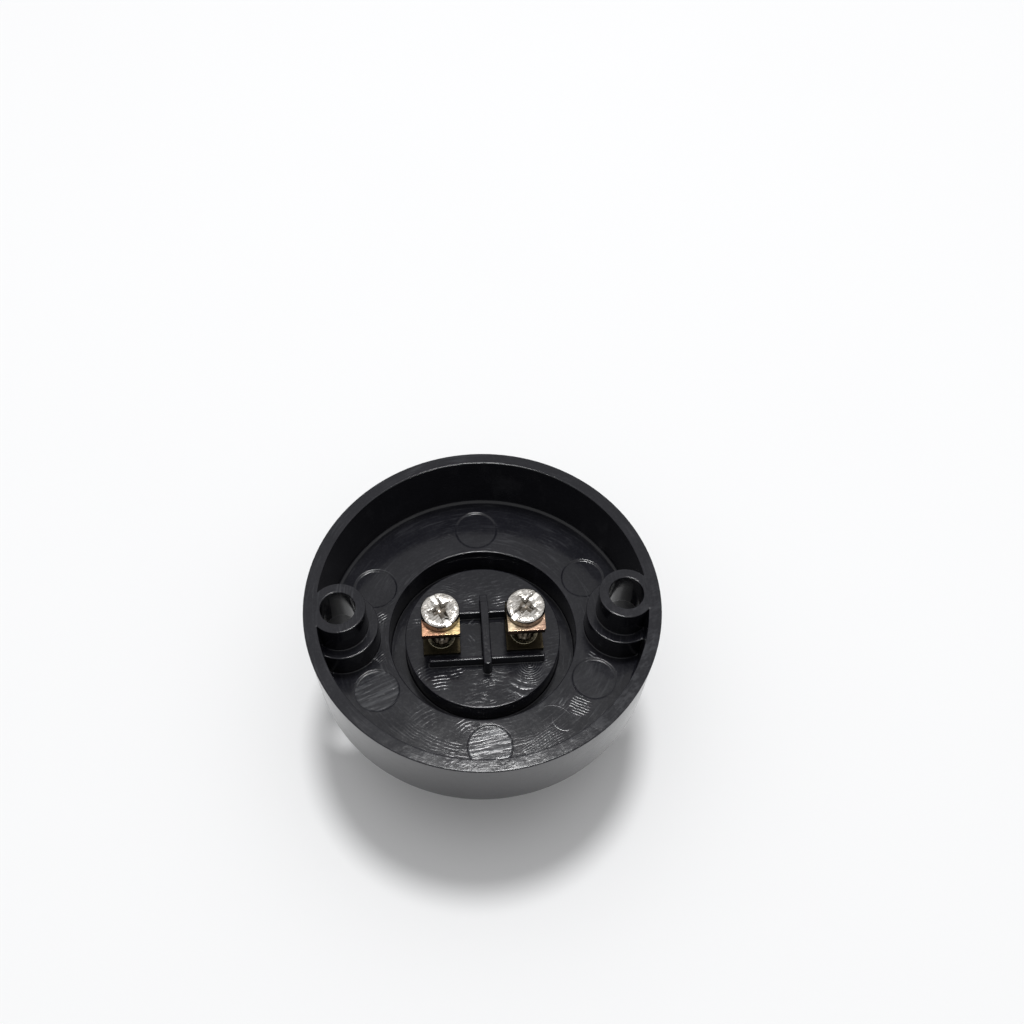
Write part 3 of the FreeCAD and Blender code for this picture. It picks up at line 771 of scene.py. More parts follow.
@dataclass(frozen=True)
class SheetBrass:
    """Stamped brass sheet with tarnish and sheared edges.

    Attributes:
        name: Name of the material.
        colour: Clean brass.
        warm: Warmer patches of it.
        tarnish: Dark patches.
        sheared: Colour of upright faces.
        tarnished: Share of tarnish, from 0 to 1.
        roughness: Middle of its roughness.
        edge_share: Share of the sheared colour on upright faces, from 0 to 1.
        painted_reflection_x: Where the warm colour comes in along X as a painted reflection, or None for
            patches alone.
        painted_reflection_share: How far painted_reflection_x takes over from the patches, from 0 to 1.
        cloud: Pattern of the warm patches.
        cloud_warmth: Warmth that the cloud brings.
        cloud_gloss: Roughness that the cloud adds.
        mottle: Pattern of the tarnish.
        mottle_fade: Tarnish that the mottle brings.
        tarnish_gloss: Roughness that tarnish adds.
        upright: How the sheared colour comes in as a face stands up.
        rolled: Fine lines from rolling.
        rolled_direction: Direction of the lines.
        rolled_gloss: Roughness that the lines add.
        rolled_depth: Depth of the lines.
        wave: Unevenness of the sheet.
        wave_depth: Depth of the unevenness.
    """

    name: str
    colour: Colour
    warm: Colour
    tarnish: Colour
    sheared: Colour
    tarnished: float
    roughness: float
    edge_share: float = 0.0
    painted_reflection_x: Union[Fade, None] = None
    painted_reflection_share: float = 0.75
    cloud: Noise = Noise(0.45, 4.0)
    cloud_warmth: Fade = Fade(0.35, 0.65)
    cloud_gloss: Fade = Fade(0.3, 0.7, -0.05, 0.10)
    mottle: Noise = Noise(1.7, 3.0)
    mottle_fade: Fade = Fade(0.45, 0.72)
    tarnish_gloss: float = 0.2
    upright: Fade = Fade(0.75, 0.45)
    rolled: Streaks = Streaks(0.4, 5.0)
    rolled_direction: float = 4.0
    rolled_gloss: Fade = Fade(0.35, 0.7, -0.04, 0.06)
    rolled_depth: float = 0.006
    wave: Noise = Noise(0.6)
    wave_depth: float = 0.05

    def material(self) -> Material:
        """Makes the material.

        Returns:
            The finished material.
        """
        graph = Graph(self.name)
        cloud = graph.noise(self.cloud)
        rolled = graph.streaks(self.rolled, self.rolled_direction)
        warmth = graph.fade(cloud, self.cloud_warmth)
        # Colour ramp along X: painted reflection.
        if self.painted_reflection_x is not None:
            warmth = graph.between(self.painted_reflection_share, warmth, graph.fade(graph.x, self.painted_reflection_x))
        dark = graph.product(graph.fade(graph.noise(self.mottle), self.mottle_fade), self.tarnished)
        upright = graph.fade(graph.math("ABSOLUTE", graph.facing), self.upright)
        tone = graph.mixed(warmth, self.colour, self.warm)
        tone = graph.mixed(dark, tone, self.tarnish)
        tone = graph.mixed(graph.product(upright, self.edge_share), tone, self.sheared)
        gloss = graph.total(
            self.roughness,
            graph.fade(cloud, self.cloud_gloss),
            graph.product(dark, self.tarnish_gloss),
            graph.fade(rolled, self.rolled_gloss),
        )
        normal = graph.relief((rolled, self.rolled_depth), (graph.noise(self.wave), self.wave_depth))
        return graph.surface(Base_Color=tone, Metallic=1.0, Roughness=gloss, Normal=normal)


SHELL_BRASS = SheetBrass(
    name="shell_brass",
    colour=(0.82, 0.68, 0.38),
    warm=(0.80, 0.60, 0.34),
    tarnish=(0.38, 0.29, 0.15),
    sheared=(0.80, 0.66, 0.38),
    tarnished=0.25,
    roughness=0.24,
)
CONTACT_BRASS = SheetBrass(
    name="contact_brass",
    colour=(0.80, 0.64, 0.36),
    warm=(0.76, 0.55, 0.31),
    tarnish=(0.34, 0.25, 0.13),
    sheared=(0.60, 0.44, 0.24),
    tarnished=0.3,
    roughness=0.26,
    edge_share=0.3,
)
# Brass darkened to near black as painted shade under the clamp plates, not the brass's own colour.
BRACKET_BRASS_PAINTED_SHADE = SheetBrass(
    name="terminal_brass",
    colour=(0.036, 0.030, 0.018),
    warm=(0.028, 0.022, 0.014),
    tarnish=(0.012, 0.010, 0.007),
    sheared=(0.060, 0.050, 0.030),
    tarnished=0.5,
    roughness=0.42,
    edge_share=0.5,
)
EYELET_BRASS = SheetBrass(
    name="eyelet_brass",
    colour=(0.42, 0.39, 0.29),
    warm=(0.36, 0.32, 0.22),
    tarnish=(0.15, 0.13, 0.09),
    sheared=(0.30, 0.27, 0.19),
    tarnished=0.3,
    roughness=0.24,
    edge_share=0.2,
)
# Left and right are differently coloured copies of one brass, each pink on the outer side and yellow on the
# inner side, as a painted reflection.
CLAMP_BRASS_PAINTED_REFLECTION = {
    Side.LEFT: SheetBrass(
        name="clamp_brass_left_painted_reflection",
        colour=(0.38, 0.30, 0.15),
        warm=(0.27, 0.145, 0.095),
        tarnish=(0.15, 0.075, 0.05),
        sheared=(0.32, 0.15, 0.09),
        tarnished=0.4,
        roughness=0.2,
        edge_share=0.7,
        painted_reflection_x=Fade(-6.6, -10.2),
    ),
    Side.RIGHT: SheetBrass(
        name="clamp_brass_right_painted_reflection",
        colour=(0.27, 0.175, 0.13),
        warm=(0.35, 0.29, 0.20),
        tarnish=(0.14, 0.075, 0.05),
        sheared=(0.32, 0.16, 0.11),
        tarnished=0.45,
        roughness=0.2,
        edge_share=0.7,
        painted_reflection_x=Fade(11.2, 6.0),
    ),
}


@dataclass(frozen=True)
class PaleTable:
    """A matt white table top that runs out into a white background."""

    name: str = "pale_table"
    colour: Colour = (0.88, 0.885, 0.89)
    tint: Colour = (0.87, 0.872, 0.88)
    cloud: Noise = Noise(0.01)
    backdrop: Fade = Fade(260.0, 1100.0)

    def material(self) -> Material:
        """Makes the material.

        Returns:
            The finished material.
        """
        graph = Graph(self.name)
        tone = graph.mixed(graph.noise(self.cloud), self.colour, self.tint)
        matt = graph.node("BsdfDiffuse", {"Color": tone})
        glow = graph.node("Emission", {"Color": WHITE})
        far = graph.fade(graph.distance(0.0, 0.0), self.backdrop)
        share = graph.product(graph.backdrop_rays(), far)
        seen = graph.node("MixShader", {0: share, 1: matt.outputs[0], 2: glow.outputs[0]})
        graph.node("OutputMaterial", {"Surface": seen.outputs[0]})
        return graph.material


# Mesh tools


class Maker:
    """Mesh tools that the pieces share."""

    WELD = 0.002
    FLAT_ANGLE = 1.0
    ROUND_SEGMENTS = 2
    ROUND_PROFILE = 0.5

    @staticmethod
    def link(name: str, mesh: bpy.types.Mesh) -> Piece:
        """Makes an object of a mesh.

        Args:
            name: Name of the object.
            mesh: Its mesh.

        Returns:
            The object, linked to the scene.
        """
        piece = bpy.data.objects.new(name, mesh)
        bpy.context.scene.collection.objects.link(piece)
        return piece

    @staticmethod
    def piece(name: str, points: Iterable[Point], faces: Iterable[Sequence[int]]) -> Piece:
        """Makes an object from points, with its faces turned outwards.

        Args:
            name: Name of the object.
            points: Its points.
            faces: Its faces, as point numbers.

        Returns:
            The object, linked to the scene.
        """
        mesh = bpy.data.meshes.new(name)
        metres = [[value * MM for value in point] for point in points]
        mesh.from_pydata(metres, [], [list(face) for face in faces])
        work = bmesh.new()
        work.from_mesh(mesh)
        bmesh.ops.recalc_face_normals(work, faces=work.faces)
        work.to_mesh(mesh)
        work.free()
        return Maker.link(name, mesh)

    @staticmethod
    def turned(name: str, rows: int, columns: int, place: Callable[[int, float], tuple[float, float]],
               centre: tuple[float, float], looped: bool) -> Piece:
        """Makes a turned closed surface.

        Args:
            name: Name of the object.
            rows: Number of rows from one end to the other.
            columns: Number of points around.
            place: Gives radius and height from a row and an angle in radians.
            centre: X and Y of the axis.
            looped: Whether the last row joins the first, else both ends close on the axis.

        Returns:
            The object.
        """
        points: list[Point] = []
        for row in range(rows):
            for column in range(columns):
                angle = FULL_TURN * column / columns
                radius, height = place(row, angle)
                x, y = centre[0] + radius * math.cos(angle), centre[1] + radius * math.sin(angle)
                points.append((x, y, height))
        faces: list[tuple[int, ...]] = []
        for row in range(rows if looped else rows - 1):
            low, high = row * columns, (row + 1) % rows * columns
            for column in range(columns):
                after = (column + 1) % columns
                faces.append((low + column, low + after, high + after, high + column))
        closed_rows = () if looped else (0, rows - 1)
        for row in closed_rows:
            pole = len(points)
            points.append((*centre, points[row * columns][2]))
            for column in range(columns):
                faces.append((row * columns + column, row * columns + (column + 1) % columns, pole))
        return Maker.piece(name, points, faces)

    @staticmethod
    def hull(name: str, points: Sequence[Point]) -> Piece:
        """Makes the convex body around some points.

        Args:
            name: Name of the object.
            points: The points.

        Returns:
            The object.
        """
        work = bmesh.new()
        for point in points:
            work.verts.new([value * MM for value in point])
        bmesh.ops.convex_hull(work, input=work.verts)
        mesh = bpy.data.meshes.new(name)
        work.to_mesh(mesh)
        work.free()
        return Maker.link(name, mesh)

    @staticmethod
    def combine(piece: Piece, others: Sequence[Piece], operation: str) -> None:
        """Cuts other bodies out of a piece, or joins them to it.

        Args:
            piece: The object that is kept.
            others: Closed bodies, deleted afterwards.
            operation: DIFFERENCE or UNION.
        """
        for other in others:
            modifier = piece.modifiers.new(operation.lower(), "BOOLEAN")
            modifier.operation = operation
            modifier.solver = "EXACT"
            modifier.object = other
        seen = piece.evaluated_get(bpy.context.evaluated_depsgraph_get())
        mesh = bpy.data.meshes.new_from_object(seen)
        piece.modifiers.clear()
        piece.data = mesh
        for other in others:
            bpy.data.objects.remove(other)

    @staticmethod
    def round_edges(piece: Piece, width: float, angle: float, above: float) -> None:
        """Rounds the sharp edges of a piece above a height.

        Args:
            piece: The object.
            width: Width of the rounding.
            angle: Smallest angle between faces that counts as sharp.
            above: Height above which edges are rounded.
        """
        work = bmesh.new()
        work.from_mesh(piece.data)
        bmesh.ops.remove_doubles(work, verts=work.verts, dist=Maker.WELD * MM)
        bmesh.ops.dissolve_limit(
            work, angle_limit=math.radians(Maker.FLAT_ANGLE), verts=work.verts, edges=work.edges,
            delimit={"SHARP"})
        sharp = [
            edge for edge in work.edges
            if len(edge.link_faces) == 2
            and edge.calc_face_angle(0.0) > math.radians(angle)
            and min(vertex.co.z for vertex in edge.verts) > above * MM
        ]
        bmesh.ops.bevel(
            work, geom=sharp, offset=width * MM, segments=Maker.ROUND_SEGMENTS,
            profile=Maker.ROUND_PROFILE, affect="EDGES", clamp_overlap=True)
        work.to_mesh(piece.data)
        work.free()

    @staticmethod
    def shade(piece: Piece, angle: float) -> None:
        """Shades a piece smooth, except across edges sharper than an angle."""
        piece.data.shade_smooth()
        piece.data.set_sharp_from_angle(angle=math.radians(angle))

    @staticmethod
    def dress(piece: Piece, material: Material) -> None:
        """Gives a piece one material."""
        piece.data.materials.clear()
        piece.data.materials.append(material)


@dataclass(frozen=True)
class EdgeRounding:
    """Rounding that is shown on the edges of a CAD solid.

    Attributes:
        width: Width of the rounding.
        segments: Faces across it.
        angle: Smallest angle between faces that is rounded.
        weld: Distance under which points are joined first.
        flat: Angle under which faces are joined first.
        weight: How much large faces count in the shaded normals, in percent.
    """

    width: float
    segments: int = 2
    angle: float = 32.0
    weld: float = 0.002
    flat: float = 0.6
    weight: int = 80

    def show_on(self, node: Piece) -> None:
        """Adds the modifiers to a CAD node.

        Args:
            node: The CAD node's object, whose mesh stays as it is.
        """
        weld = node.modifiers.new("weld", "WELD")
        weld.merge_threshold = self.weld * MM
        flat = node.modifiers.new("flat", "DECIMATE")
        flat.decimate_type = "DISSOLVE"
        flat.angle_limit = math.radians(self.flat)
        rounding = node.modifiers.new("rounding", "BEVEL")
        rounding.limit_method = "ANGLE"
        rounding.angle_limit = math.radians(self.angle)
        rounding.width = self.width * MM
        rounding.segments = self.segments
        rounding.use_clamp_overlap = False
        rounding.miter_outer = "MITER_ARC"
        weighted = node.modifiers.new("weighted", "WEIGHTED_NORMAL")
        weighted.keep_sharp = False
        weighted.weight = self.weight


# Pieces


@dataclass
class CadPieces:
    """Pieces that keep their CAD shape.

    Attributes:
        names: Names of their CAD nodes.
        rounding: Rounding that shows on their edges.
        finish: Their finish.
    """

    names: tuple[str, ...]
    rounding: EdgeRounding
    finish: Union[MouldedPlastic, SheetBrass]

    def build(self, nodes: CadNodes) -> tuple[str, ...]:
        """Dresses the CAD nodes.

        Args:
            nodes: All CAD nodes by name.

        Returns:
            Names of the pieces.
        """
        material = self.finish.material()
        for name in self.names:
            self.rounding.show_on(nodes[name])
            Maker.dress(nodes[name], material)
        return self.names


@dataclass
class Housing(CadPieces):
    """The black moulding."""

    names: tuple[str, ...] = ("housing",)
    rounding: EdgeRounding = EdgeRounding(0.18, 3)
    finish: MouldedPlastic = MouldedPlastic()


@dataclass
class Brackets(CadPieces):
    """The folded brackets of the terminals, near black as painted shade."""

    names: tuple[str, ...] = ("bracket_left", "bracket_right")
    rounding: EdgeRounding = EdgeRounding(0.09)
    finish: SheetBrass = BRACKET_BRASS_PAINTED_SHADE


@dataclass
class Eyelets(CadPieces):
    """The eyelets that hold the terminals on the disc."""

    names: tuple[str, ...] = ("eyelet_left", "eyelet_right")
    rounding: EdgeRounding = EdgeRounding(0.10, 3)
    finish: SheetBrass = EYELET_BRASS


@dataclass
class CentreContact(CadPieces):
    """The sprung strip that presses the end of the lamp."""

    names: tuple[str, ...] = ("centre_contact",)
    rounding: EdgeRounding = EdgeRounding(0.08)
    finish: SheetBrass = CONTACT_BRASS


@dataclass
class ClampPlate(CadPieces):
    """The brass plate under one screw head, its colour running across it as a painted reflection."""

    @classmethod
    def of_side(cls, side: Side) -> ClampPlate:
        """Gives the plate of one side."""
        return cls((f"clamp_plate_{side.value}",), EdgeRounding(0.10), CLAMP_BRASS_PAINTED_REFLECTION[side])


@dataclass
class TerminalScrew:
    """A pan head screw with a slotted cross recess and a rolled thread."""

    side: Side
    axis_x: float = 9.1

    # Shank and thread
    radius: float = 2.0
    pitch: float = 0.7
    thread_depth: float = 0.42
    tip_z: float = 30.9
    tip_radius: float = 1.45
    tip_height: float = 0.5
    tip_lead: float = 0.3
    tip_thread: float = 0.4
    neck: float = 0.7
    fillet_height: float = 0.1
    fillet_width: float = 0.12

    # Head
    head_z: float = 42.9
    head_radius: float = 4.15
    under_edge: float = 0.12
    shoulder_z: float = 44.5
    top_z: float = 45.1
    crown_radius: float = 3.55
    crown_rise: float = 0.08
    dome_rows: tuple[tuple[float, float], ...] = ((0.5, 0.25), (0.08, 0.0))

    # Driver slot and cross recess
    slot_width: float = 1.4
    slot_taper: float = 0.86
    slot_depth: float = 0.9
    slot_reach: float = 1.2
    recess_span: float = 2.85
    recess_width: float = 1.8
    recess_depth: float = 1.3
    foot_span: float = 1.35
    foot_width: float = 1.05
    point_depth: float = 1.6
    clearance: float = 1.0

    # Mesh and finish
    columns: int = 60
    rows_per_turn: int = 10
    crown_steps: int = 9
    edge_width: float = 0.07
    edge_angle: float = 38.0
    smooth_angle: float = 42.0
    finish: BrightPlating = BrightPlating()

    @property
    def centre_x(self) -> float:
        """Gives the X of the screw's axis."""
        return self.side.sign * self.axis_x

    def outline(self) -> list[tuple[float, float, bool]]:
        """Gives the rows of the turned surface, from tip to crown.

        Returns:
            Radius, height and whether the thread cuts that row.
        """
        start = self.tip_z + self.tip_height * self.tip_lead
        length = self.head_z - self.neck - start
        count = round(length / self.pitch * self.rows_per_turn)
        rows = [(self.tip_radius, self.tip_z, False)]
        rows += [(self.radius, start + length * step / count, True) for step in range(count + 1)]
        rows += [
            (self.radius, self.head_z - self.fillet_height, False),
            (self.radius + self.fillet_width, self.head_z, False),
            (self.head_radius - self.under_edge, self.head_z, False),
            (self.head_radius, self.head_z + self.under_edge, False),
        ]
        shoulder = self.head_radius - self.crown_radius
        rise = self.top_z - self.crown_rise - self.shoulder_z
        for step in range(self.crown_steps + 1):
            turn = QUARTER_TURN * step / self.crown_steps
            radius = self.crown_radius + shoulder * math.cos(turn)
            rows.append((radius, self.shoulder_z + rise * math.sin(turn), False))
        for reach, drop in self.dome_rows:
            rows.append((self.crown_radius * reach, self.top_z - self.crown_rise * drop, False))
        return rows

    def thread_cut(self, height: float, angle: float) -> float:
        """Gives how far the thread cuts in at a place.

        Args:
            height: Height of the place.
            angle: Angle around the axis, in radians.

        Returns:
            The depth below the shank's radius.
        """
        phase = (height / self.pitch - angle / FULL_TURN) % 1.0
        flank = 1.0 - abs(2.0 * phase - 1.0)
        above = min(1.0, (height - self.tip_z) / self.tip_height)
        below = min(1.0, max(0.0, (self.head_z - self.neck - height) / self.pitch))
        taper = (1.0 - above) * (self.radius - self.tip_radius)
        return taper + self.thread_depth * flank * below * max(above, self.tip_thread)

    def cutters(self) -> list[Piece]:
        """Makes the bodies that carve slot and recess.

        Returns:
            The slot's cutter and those of the two wings of the cross.
        """
        clear = self.top_z + self.clearance
        reach = self.head_radius * self.slot_reach
        slot_floor = (reach, self.slot_width * self.slot_taper, self.top_z - self.slot_depth)
        wing_foot = (self.foot_span, self.foot_width, self.top_z - self.recess_depth)
        lead = self.clearance / self.recess_depth
        wing_top = (
            self.recess_span + (self.recess_span - self.foot_span) * lead,
            self.recess_width + (self.recess_width - self.foot_width) * lead,
            clear,
        )
        return [
            self.wedge(0.0, (reach, self.slot_width, clear), slot_floor),
            *(self.wedge(turn, wing_top, wing_foot, self.point_depth) for turn in (0.0, 90.0)),
        ]

    def wedge(self, turn: float, upper: Point, lower: Point, point_depth: float = 0.0) -> Piece:
        """Makes one tapered cutter through the screw's axis.

        Args:
            turn: Angle from the driver slot.
            upper: Reach, width and height of its upper end.
            lower: Reach, width and height of its lower end.
            point_depth: Depth of a point below the head's top, or 0.

        Returns:
            The cutter.
        """
        angle = math.radians(SLOT_DIRECTION[self.side] + turn)
        points: list[Point] = []
        for reach, width, height in (upper, lower):
            for along in (-reach, reach):
                for across in (-width / 2.0, width / 2.0):
                    points.append((
                        self.centre_x + along * math.cos(angle) - across * math.sin(angle),
                        along * math.sin(angle) + across * math.cos(angle),
                        height,
                    ))
        if point_depth:
            points.append((self.centre_x, 0.0, self.top_z - point_depth))
        return Maker.hull("cutter", points)

    def build(self, _nodes: CadNodes) -> tuple[str, ...]:
        """Builds the screw in place of the plain CAD one.

        Args:
            _nodes: The CAD nodes, not needed here.

        Returns:
            Names of the pieces.
        """
        outline = self.outline()

        def place(row: int, angle: float) -> tuple[float, float]:
            """Gives radius and height of a point of the outline."""
            radius, height, threaded = outline[row]
            return (radius - self.thread_cut(height, angle) if threaded else radius), height

        name = f"terminal_screw_{self.side.value}_threaded"
        screw = Maker.turned(name, len(outline), self.columns, place, (self.centre_x, 0.0), False)
        Maker.combine(screw, self.cutters(), "DIFFERENCE")
        Maker.round_edges(screw, self.edge_width, self.edge_angle, self.head_z + 2.0 * self.under_edge)
        Maker.shade(screw, self.smooth_angle)
        Maker.dress(screw, self.finish.material(self.centre_x))
        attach(screw, f"screw_{self.side.value}")
        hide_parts(f"terminal_screw_{self.side.value}")
        return (screw.name,)


@dataclass
class ScrewShell:
    """The brass shell with its rolled lamp thread, leg and foot."""

    # Rolled shell
    inside: float = 13.3
    sheet: float = 0.4
    start_z: float = 4.8
    end_z: float = 22.0
    pitch: float = 3.629
    roll_depth: float = 1.15
    roll_start: float = 5.7
    roll_full: float = 7.4
    roll_fade: float = 19.2
    roll_end: float = 20.8
    mouth_flare: float = 0.3
    mouth_height: float = 1.0
    shoulder_radius: float = 12.8
    shoulder_height: float = 0.7
    row_step: float = 0.3
    columns: int = 144

    # Leg, foot and the eyelet's hole
    leg_half_width: float = 4.0
    leg_radius: float = 12.8
    leg_overlap: float = 0.4
    leg_columns: int = 16
    run_steps: int = 8
    bend_steps: int = 6
    ceiling_z: float = 28.2
    foot_end_x: float = 5.75
    foot_bend: float = 0.7
    eyelet_x: float = 9.1
    eyelet_hole: float = 2.35
    hole_columns: int = 40
    hole_reach: float = 1.0

    # Edges and finish
    edge_width: float = 0.08
    sharp_angle: float = 50.0
    finish: SheetBrass = SHELL_BRASS

    @staticmethod
    def eased(share: float) -> float:
        """Gives a smooth step from 0 to 1 over a share from 0 to 1."""
        held = min(1.0, max(0.0, share))
        return held * held * (3.0 - 2.0 * held)

    def middle(self, height: float, angle: float) -> float:
        """Gives the radius of the sheet's middle.

        Args:
            height: Height of the place.
            angle: Angle around the axis, in radians.

        Returns:
            The radius.
        """
        plain = self.inside + self.sheet / 2.0
        phase = height / self.pitch - angle / FULL_TURN
        rising = self.eased((height - self.roll_start) / (self.roll_full - self.roll_start))
        falling = self.eased((self.roll_end - height) / (self.roll_end - self.roll_fade))
        roll = self.roll_depth * (0.5 - 0.5 * math.cos(FULL_TURN * phase)) * rising * falling
        flare = self.mouth_flare * self.eased(1.0 - (height - self.start_z) / self.mouth_height)
        shoulder = self.eased((height - self.end_z + self.shoulder_height) / self.shoulder_height)
        return plain - roll + flare - shoulder * (plain - self.shoulder_radius)

    def body(self) -> Piece:
        """Makes the rolled shell as one closed surface.

        Returns:
            The object.
        """
        length = self.end_z - self.start_z
        count = round(length / self.row_step)
        heights = [self.start_z + length * step / count for step in range(count + 1)]
        half = self.sheet / 2.0
        rows = [(height, half) for height in heights] + [(height, -half) for height in reversed(heights)]

        def place(row: int, angle: float) -> tuple[float, float]:
            """Gives radius and height of a point of the sheet."""
            height, offset = rows[row]
            return self.middle(height, angle) + offset, height

        return Maker.turned("screw_shell_rolled", len(rows), self.columns, place, (0.0, 0.0), True)

    def leg_path(self) -> list[tuple[float, float, float, float]]:
        """Gives the middle of the leg's sheet, from the shell to the foot's end.

        Returns:
            Shift inwards, height, direction in radians and share of the shell's curve.
        """
        top = self.ceiling_z - self.sheet / 2.0
        low, high = self.end_z - self.leg_overlap, top - self.foot_bend
        rise = high - low
        path = [(0.0, low + rise * step / self.run_steps, 0.0, 1.0) for step in range(self.run_steps + 1)]
        for step in range(1, self.bend_steps + 1):
            turn = QUARTER_TURN * step / self.bend_steps
            shift = -self.foot_bend * (1.0 - math.cos(turn))
            path.append((shift, high + self.foot_bend * math.sin(turn), turn, 1.0 - step / self.bend_steps))
        flat = self.leg_radius - self.foot_end_x - self.foot_bend
        for step in range(1, self.run_steps + 1):
            path.append((-self.foot_bend - flat * step / self.run_steps, top, QUARTER_TURN, 0.0))
        return path

    def leg(self) -> Piece:
        """Makes the leg and the foot as one bent strip.

        Returns:
            The object.
        """
        path = self.leg_path()
        points: list[Point] = []
        for side in (self.sheet / 2.0, -self.sheet / 2.0):
            for shift, height, turn, curved in path:
                for column in range(self.leg_columns + 1):
                    across = self.leg_half_width * (2.0 * column / self.leg_columns - 1.0)
                    sag = (self.leg_radius - math.sqrt(self.leg_radius ** 2 - across ** 2)) * curved
                    outward = self.leg_radius - sag + shift + side * math.cos(turn)
                    points.append((outward, across, height + side * math.sin(turn)))
        return Maker.piece("shell_leg", points, self.strip_faces(len(path), self.leg_columns + 1))

    @staticmethod
    def strip_faces(rows: int, columns: int) -> list[tuple[int, ...]]:
        """Gives the faces of a strip with two sides.

        Args:
            rows: Points along it.
            columns: Points across it.

        Returns:
            Faces of both sides and of the edges all round.
        """
        far = rows * columns
        faces: list[tuple[int, ...]] = []
        for row in range(rows - 1):
            for column in range(columns - 1):
                corner = row * columns + column
                quad = (corner, corner + 1, corner + columns + 1, corner + columns)
                faces += [quad, tuple(far + index for index in reversed(quad))]
        border: list[tuple[int, int]] = []
        for start in (0, far - columns):
            border += [(start + column, start + column + 1) for column in range(columns - 1)]
        for start in (0, columns - 1):
            border += [(start + row * columns, start + (row + 1) * columns) for row in range(rows - 1)]
        return faces + [(start, end, far + end, far + start) for start, end in border]

    def hole(self) -> Piece:
        """Makes the cutter for the eyelet's hole.

        Returns:
            The cutter.
        """
        heights = (self.ceiling_z - self.hole_reach, self.ceiling_z + self.hole_reach)

        def place(row: int, _angle: float) -> tuple[float, float]:
            """Gives radius and height of a point of the cutter."""
            return self.eyelet_hole, heights[row]

        return Maker.turned("cutter", len(heights), self.hole_columns, place, (self.eyelet_x, 0.0), False)

    def build(self, _nodes: CadNodes) -> tuple[str, ...]:
        """Builds the shell in place of the plain CAD one.

        Args:
            _nodes: The CAD nodes, not needed here.

        Returns:
            Names of the pieces.
        """
        leg = self.leg()
        Maker.combine(leg, [self.hole()], "DIFFERENCE")
        Maker.round_edges(leg, self.edge_width, self.sharp_angle, self.end_z)
        shell = self.body()
        Maker.combine(shell, [leg], "UNION")
        Maker.shade(shell, self.sharp_angle)
        Maker.dress(shell, self.finish.material())
        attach(shell, "base")
        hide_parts("screw_shell")
        return (shell.name,)


# Studio


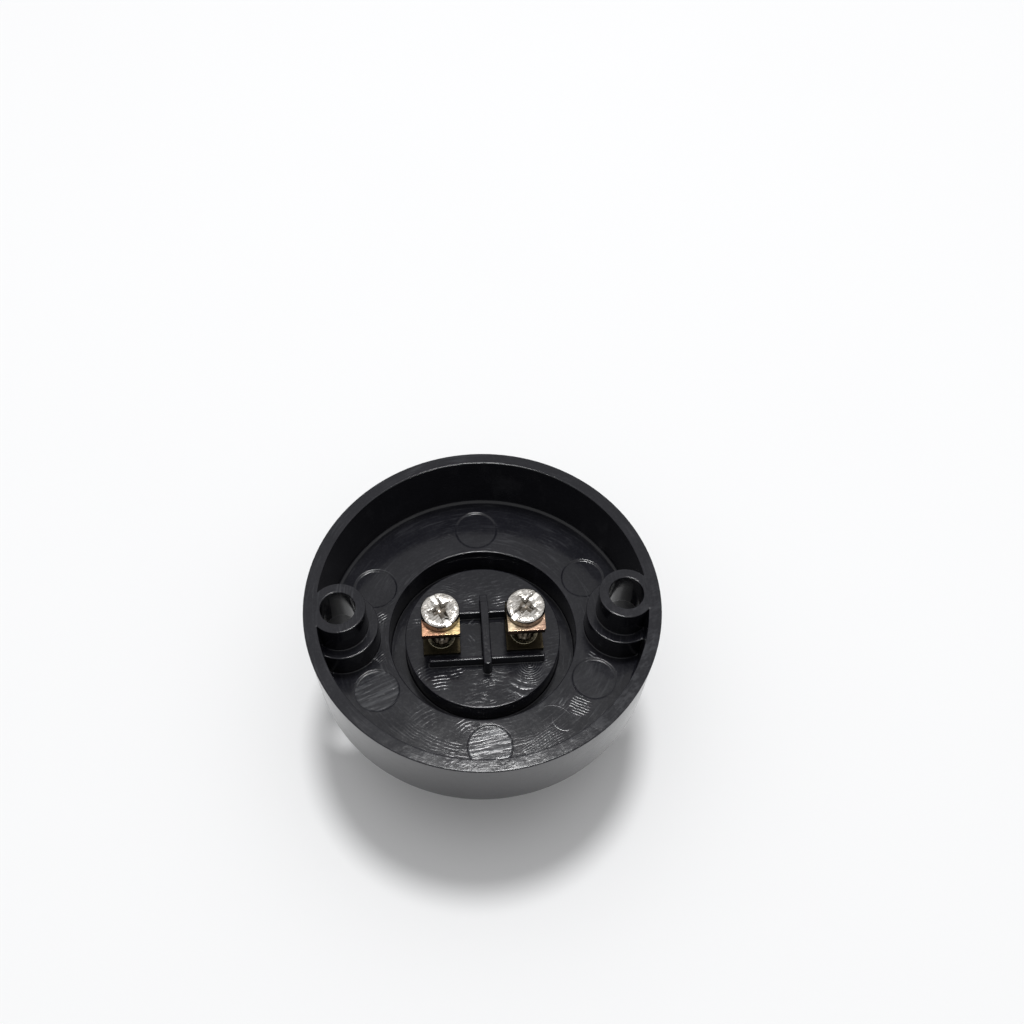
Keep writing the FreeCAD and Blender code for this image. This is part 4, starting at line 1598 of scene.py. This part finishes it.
@dataclass
class Studio:
    """Table, soft lamp and surroundings.

    Attributes:
        table_half: Half the side of the table top.
        sky: Strength of the light from straight above.
        sky_falloff: Power of the height's sine by which it fades to the horizon.
        lamp_height: Height of the lamp over the table.
        lamp_far: Distance of the lamp behind the holder.
        lamp_right: Distance of the lamp to the right of the holder.
        lamp_size: Diameter of the lamp.
        lamp_power: Power of the lamp in watts.
        finish: Finish of the table top.
    """

    table_half: float = 4000.0
    sky: float = 1.47
    sky_falloff: float = 3.0
    lamp_height: float = 1500.0
    lamp_far: float = 304.0
    lamp_right: float = 48.0
    lamp_size: float = 255.0
    lamp_power: float = 12.3
    finish: PaleTable = PaleTable()

    def build(self) -> None:
        """Makes the table, the lamp and the world."""
        self.table()
        self.lamp()
        self.surroundings()

    def table(self) -> None:
        """Makes the table top."""
        half = self.table_half
        points = ((-half, -half, 0.0), (half, -half, 0.0), (half, half, 0.0), (-half, half, 0.0))
        table = Maker.piece("table", points, ((0, 1, 2, 3),))
        Maker.dress(table, self.finish.material())

    def lamp(self) -> None:
        """Makes the large soft lamp."""
        data = bpy.data.lights.new("soft_lamp", "AREA")
        data.shape = "DISK"
        data.size = self.lamp_size * MM
        data.energy = self.lamp_power
        lamp = bpy.data.objects.new("soft_lamp", data)
        lamp.location = Vector((self.lamp_right, self.lamp_far, self.lamp_height)) * MM
        lamp.rotation_euler = (-lamp.location).to_track_quat("-Z", "Y").to_euler()
        bpy.context.scene.collection.objects.link(lamp)

    def surroundings(self) -> None:
        """Makes the soft light from above, plain white where it is seen."""
        world = bpy.data.worlds.new("pale_room")
        world.use_nodes = True
        room = NodeTree(world.node_tree)
        height = room.parts(room.node("TexCoord", {}).outputs["Generated"])[2]
        above = room.math("POWER", room.math("MAXIMUM", height, 0.0), self.sky_falloff)
        strength = room.between(room.backdrop_rays(), room.product(above, self.sky), 1.0)
        glow = room.node("Background", {"Color": WHITE, "Strength": strength})
        room.node("OutputWorld", {"Surface": glow.outputs[0]})
        bpy.context.scene.world = world


@dataclass
class PhotoCamera:
    """The camera at the photograph's viewing angle."""

    azimuth: float = -6.347
    elevation: float = 57.688
    roll: float = 2.623
    place: Point = (-7.929, -118.387, 270.513)
    lens: float = 42.235
    sensor: float = 36.0
    near_clip: float = 10.0

    def build(self) -> None:
        """Makes the camera and sets it as the scene's."""
        azimuth, elevation = math.radians(self.azimuth), math.radians(self.elevation)
        level = math.cos(elevation)
        back = Vector((math.sin(azimuth) * level, -math.cos(azimuth) * level, math.sin(elevation)))
        right = Vector((0.0, 0.0, 1.0)).cross(back).normalized()
        upright = Matrix((right, back.cross(right), back)).transposed()
        turn = upright @ Matrix.Rotation(math.radians(self.roll), 3, "Z")
        data = bpy.data.cameras.new("photo_camera")
        data.lens = self.lens
        data.sensor_width = data.sensor_height = self.sensor
        data.sensor_fit = "HORIZONTAL"
        data.clip_start = self.near_clip * MM
        camera = bpy.data.objects.new("photo_camera", data)
        camera.matrix_world = Matrix.Translation(Vector(self.place) * MM) @ turn.to_4x4()
        bpy.context.scene.collection.objects.link(camera)
        bpy.context.scene.camera = camera


def main() -> None:
    """Builds and dresses the lamp holder in its studio."""
    logging.basicConfig(level=logging.INFO, format="%(name)s: %(message)s")
    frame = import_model()
    bpy.context.scene.view_settings.view_transform = "Standard"
    PhotoCamera().build()
    Studio().build()
    assemblies = (
        Housing(),
        ScrewShell(),
        Brackets(),
        Eyelets(),
        CentreContact(),
        *(ClampPlate.of_side(side) for side in Side),
        *(TerminalScrew(side) for side in Side),
    )
    for assembly in assemblies:
        for name in assembly.build(frame["nodes"]):
            LOG.info("%s: %s", type(assembly).__name__, name)


if __name__ == "__main__":
    main()
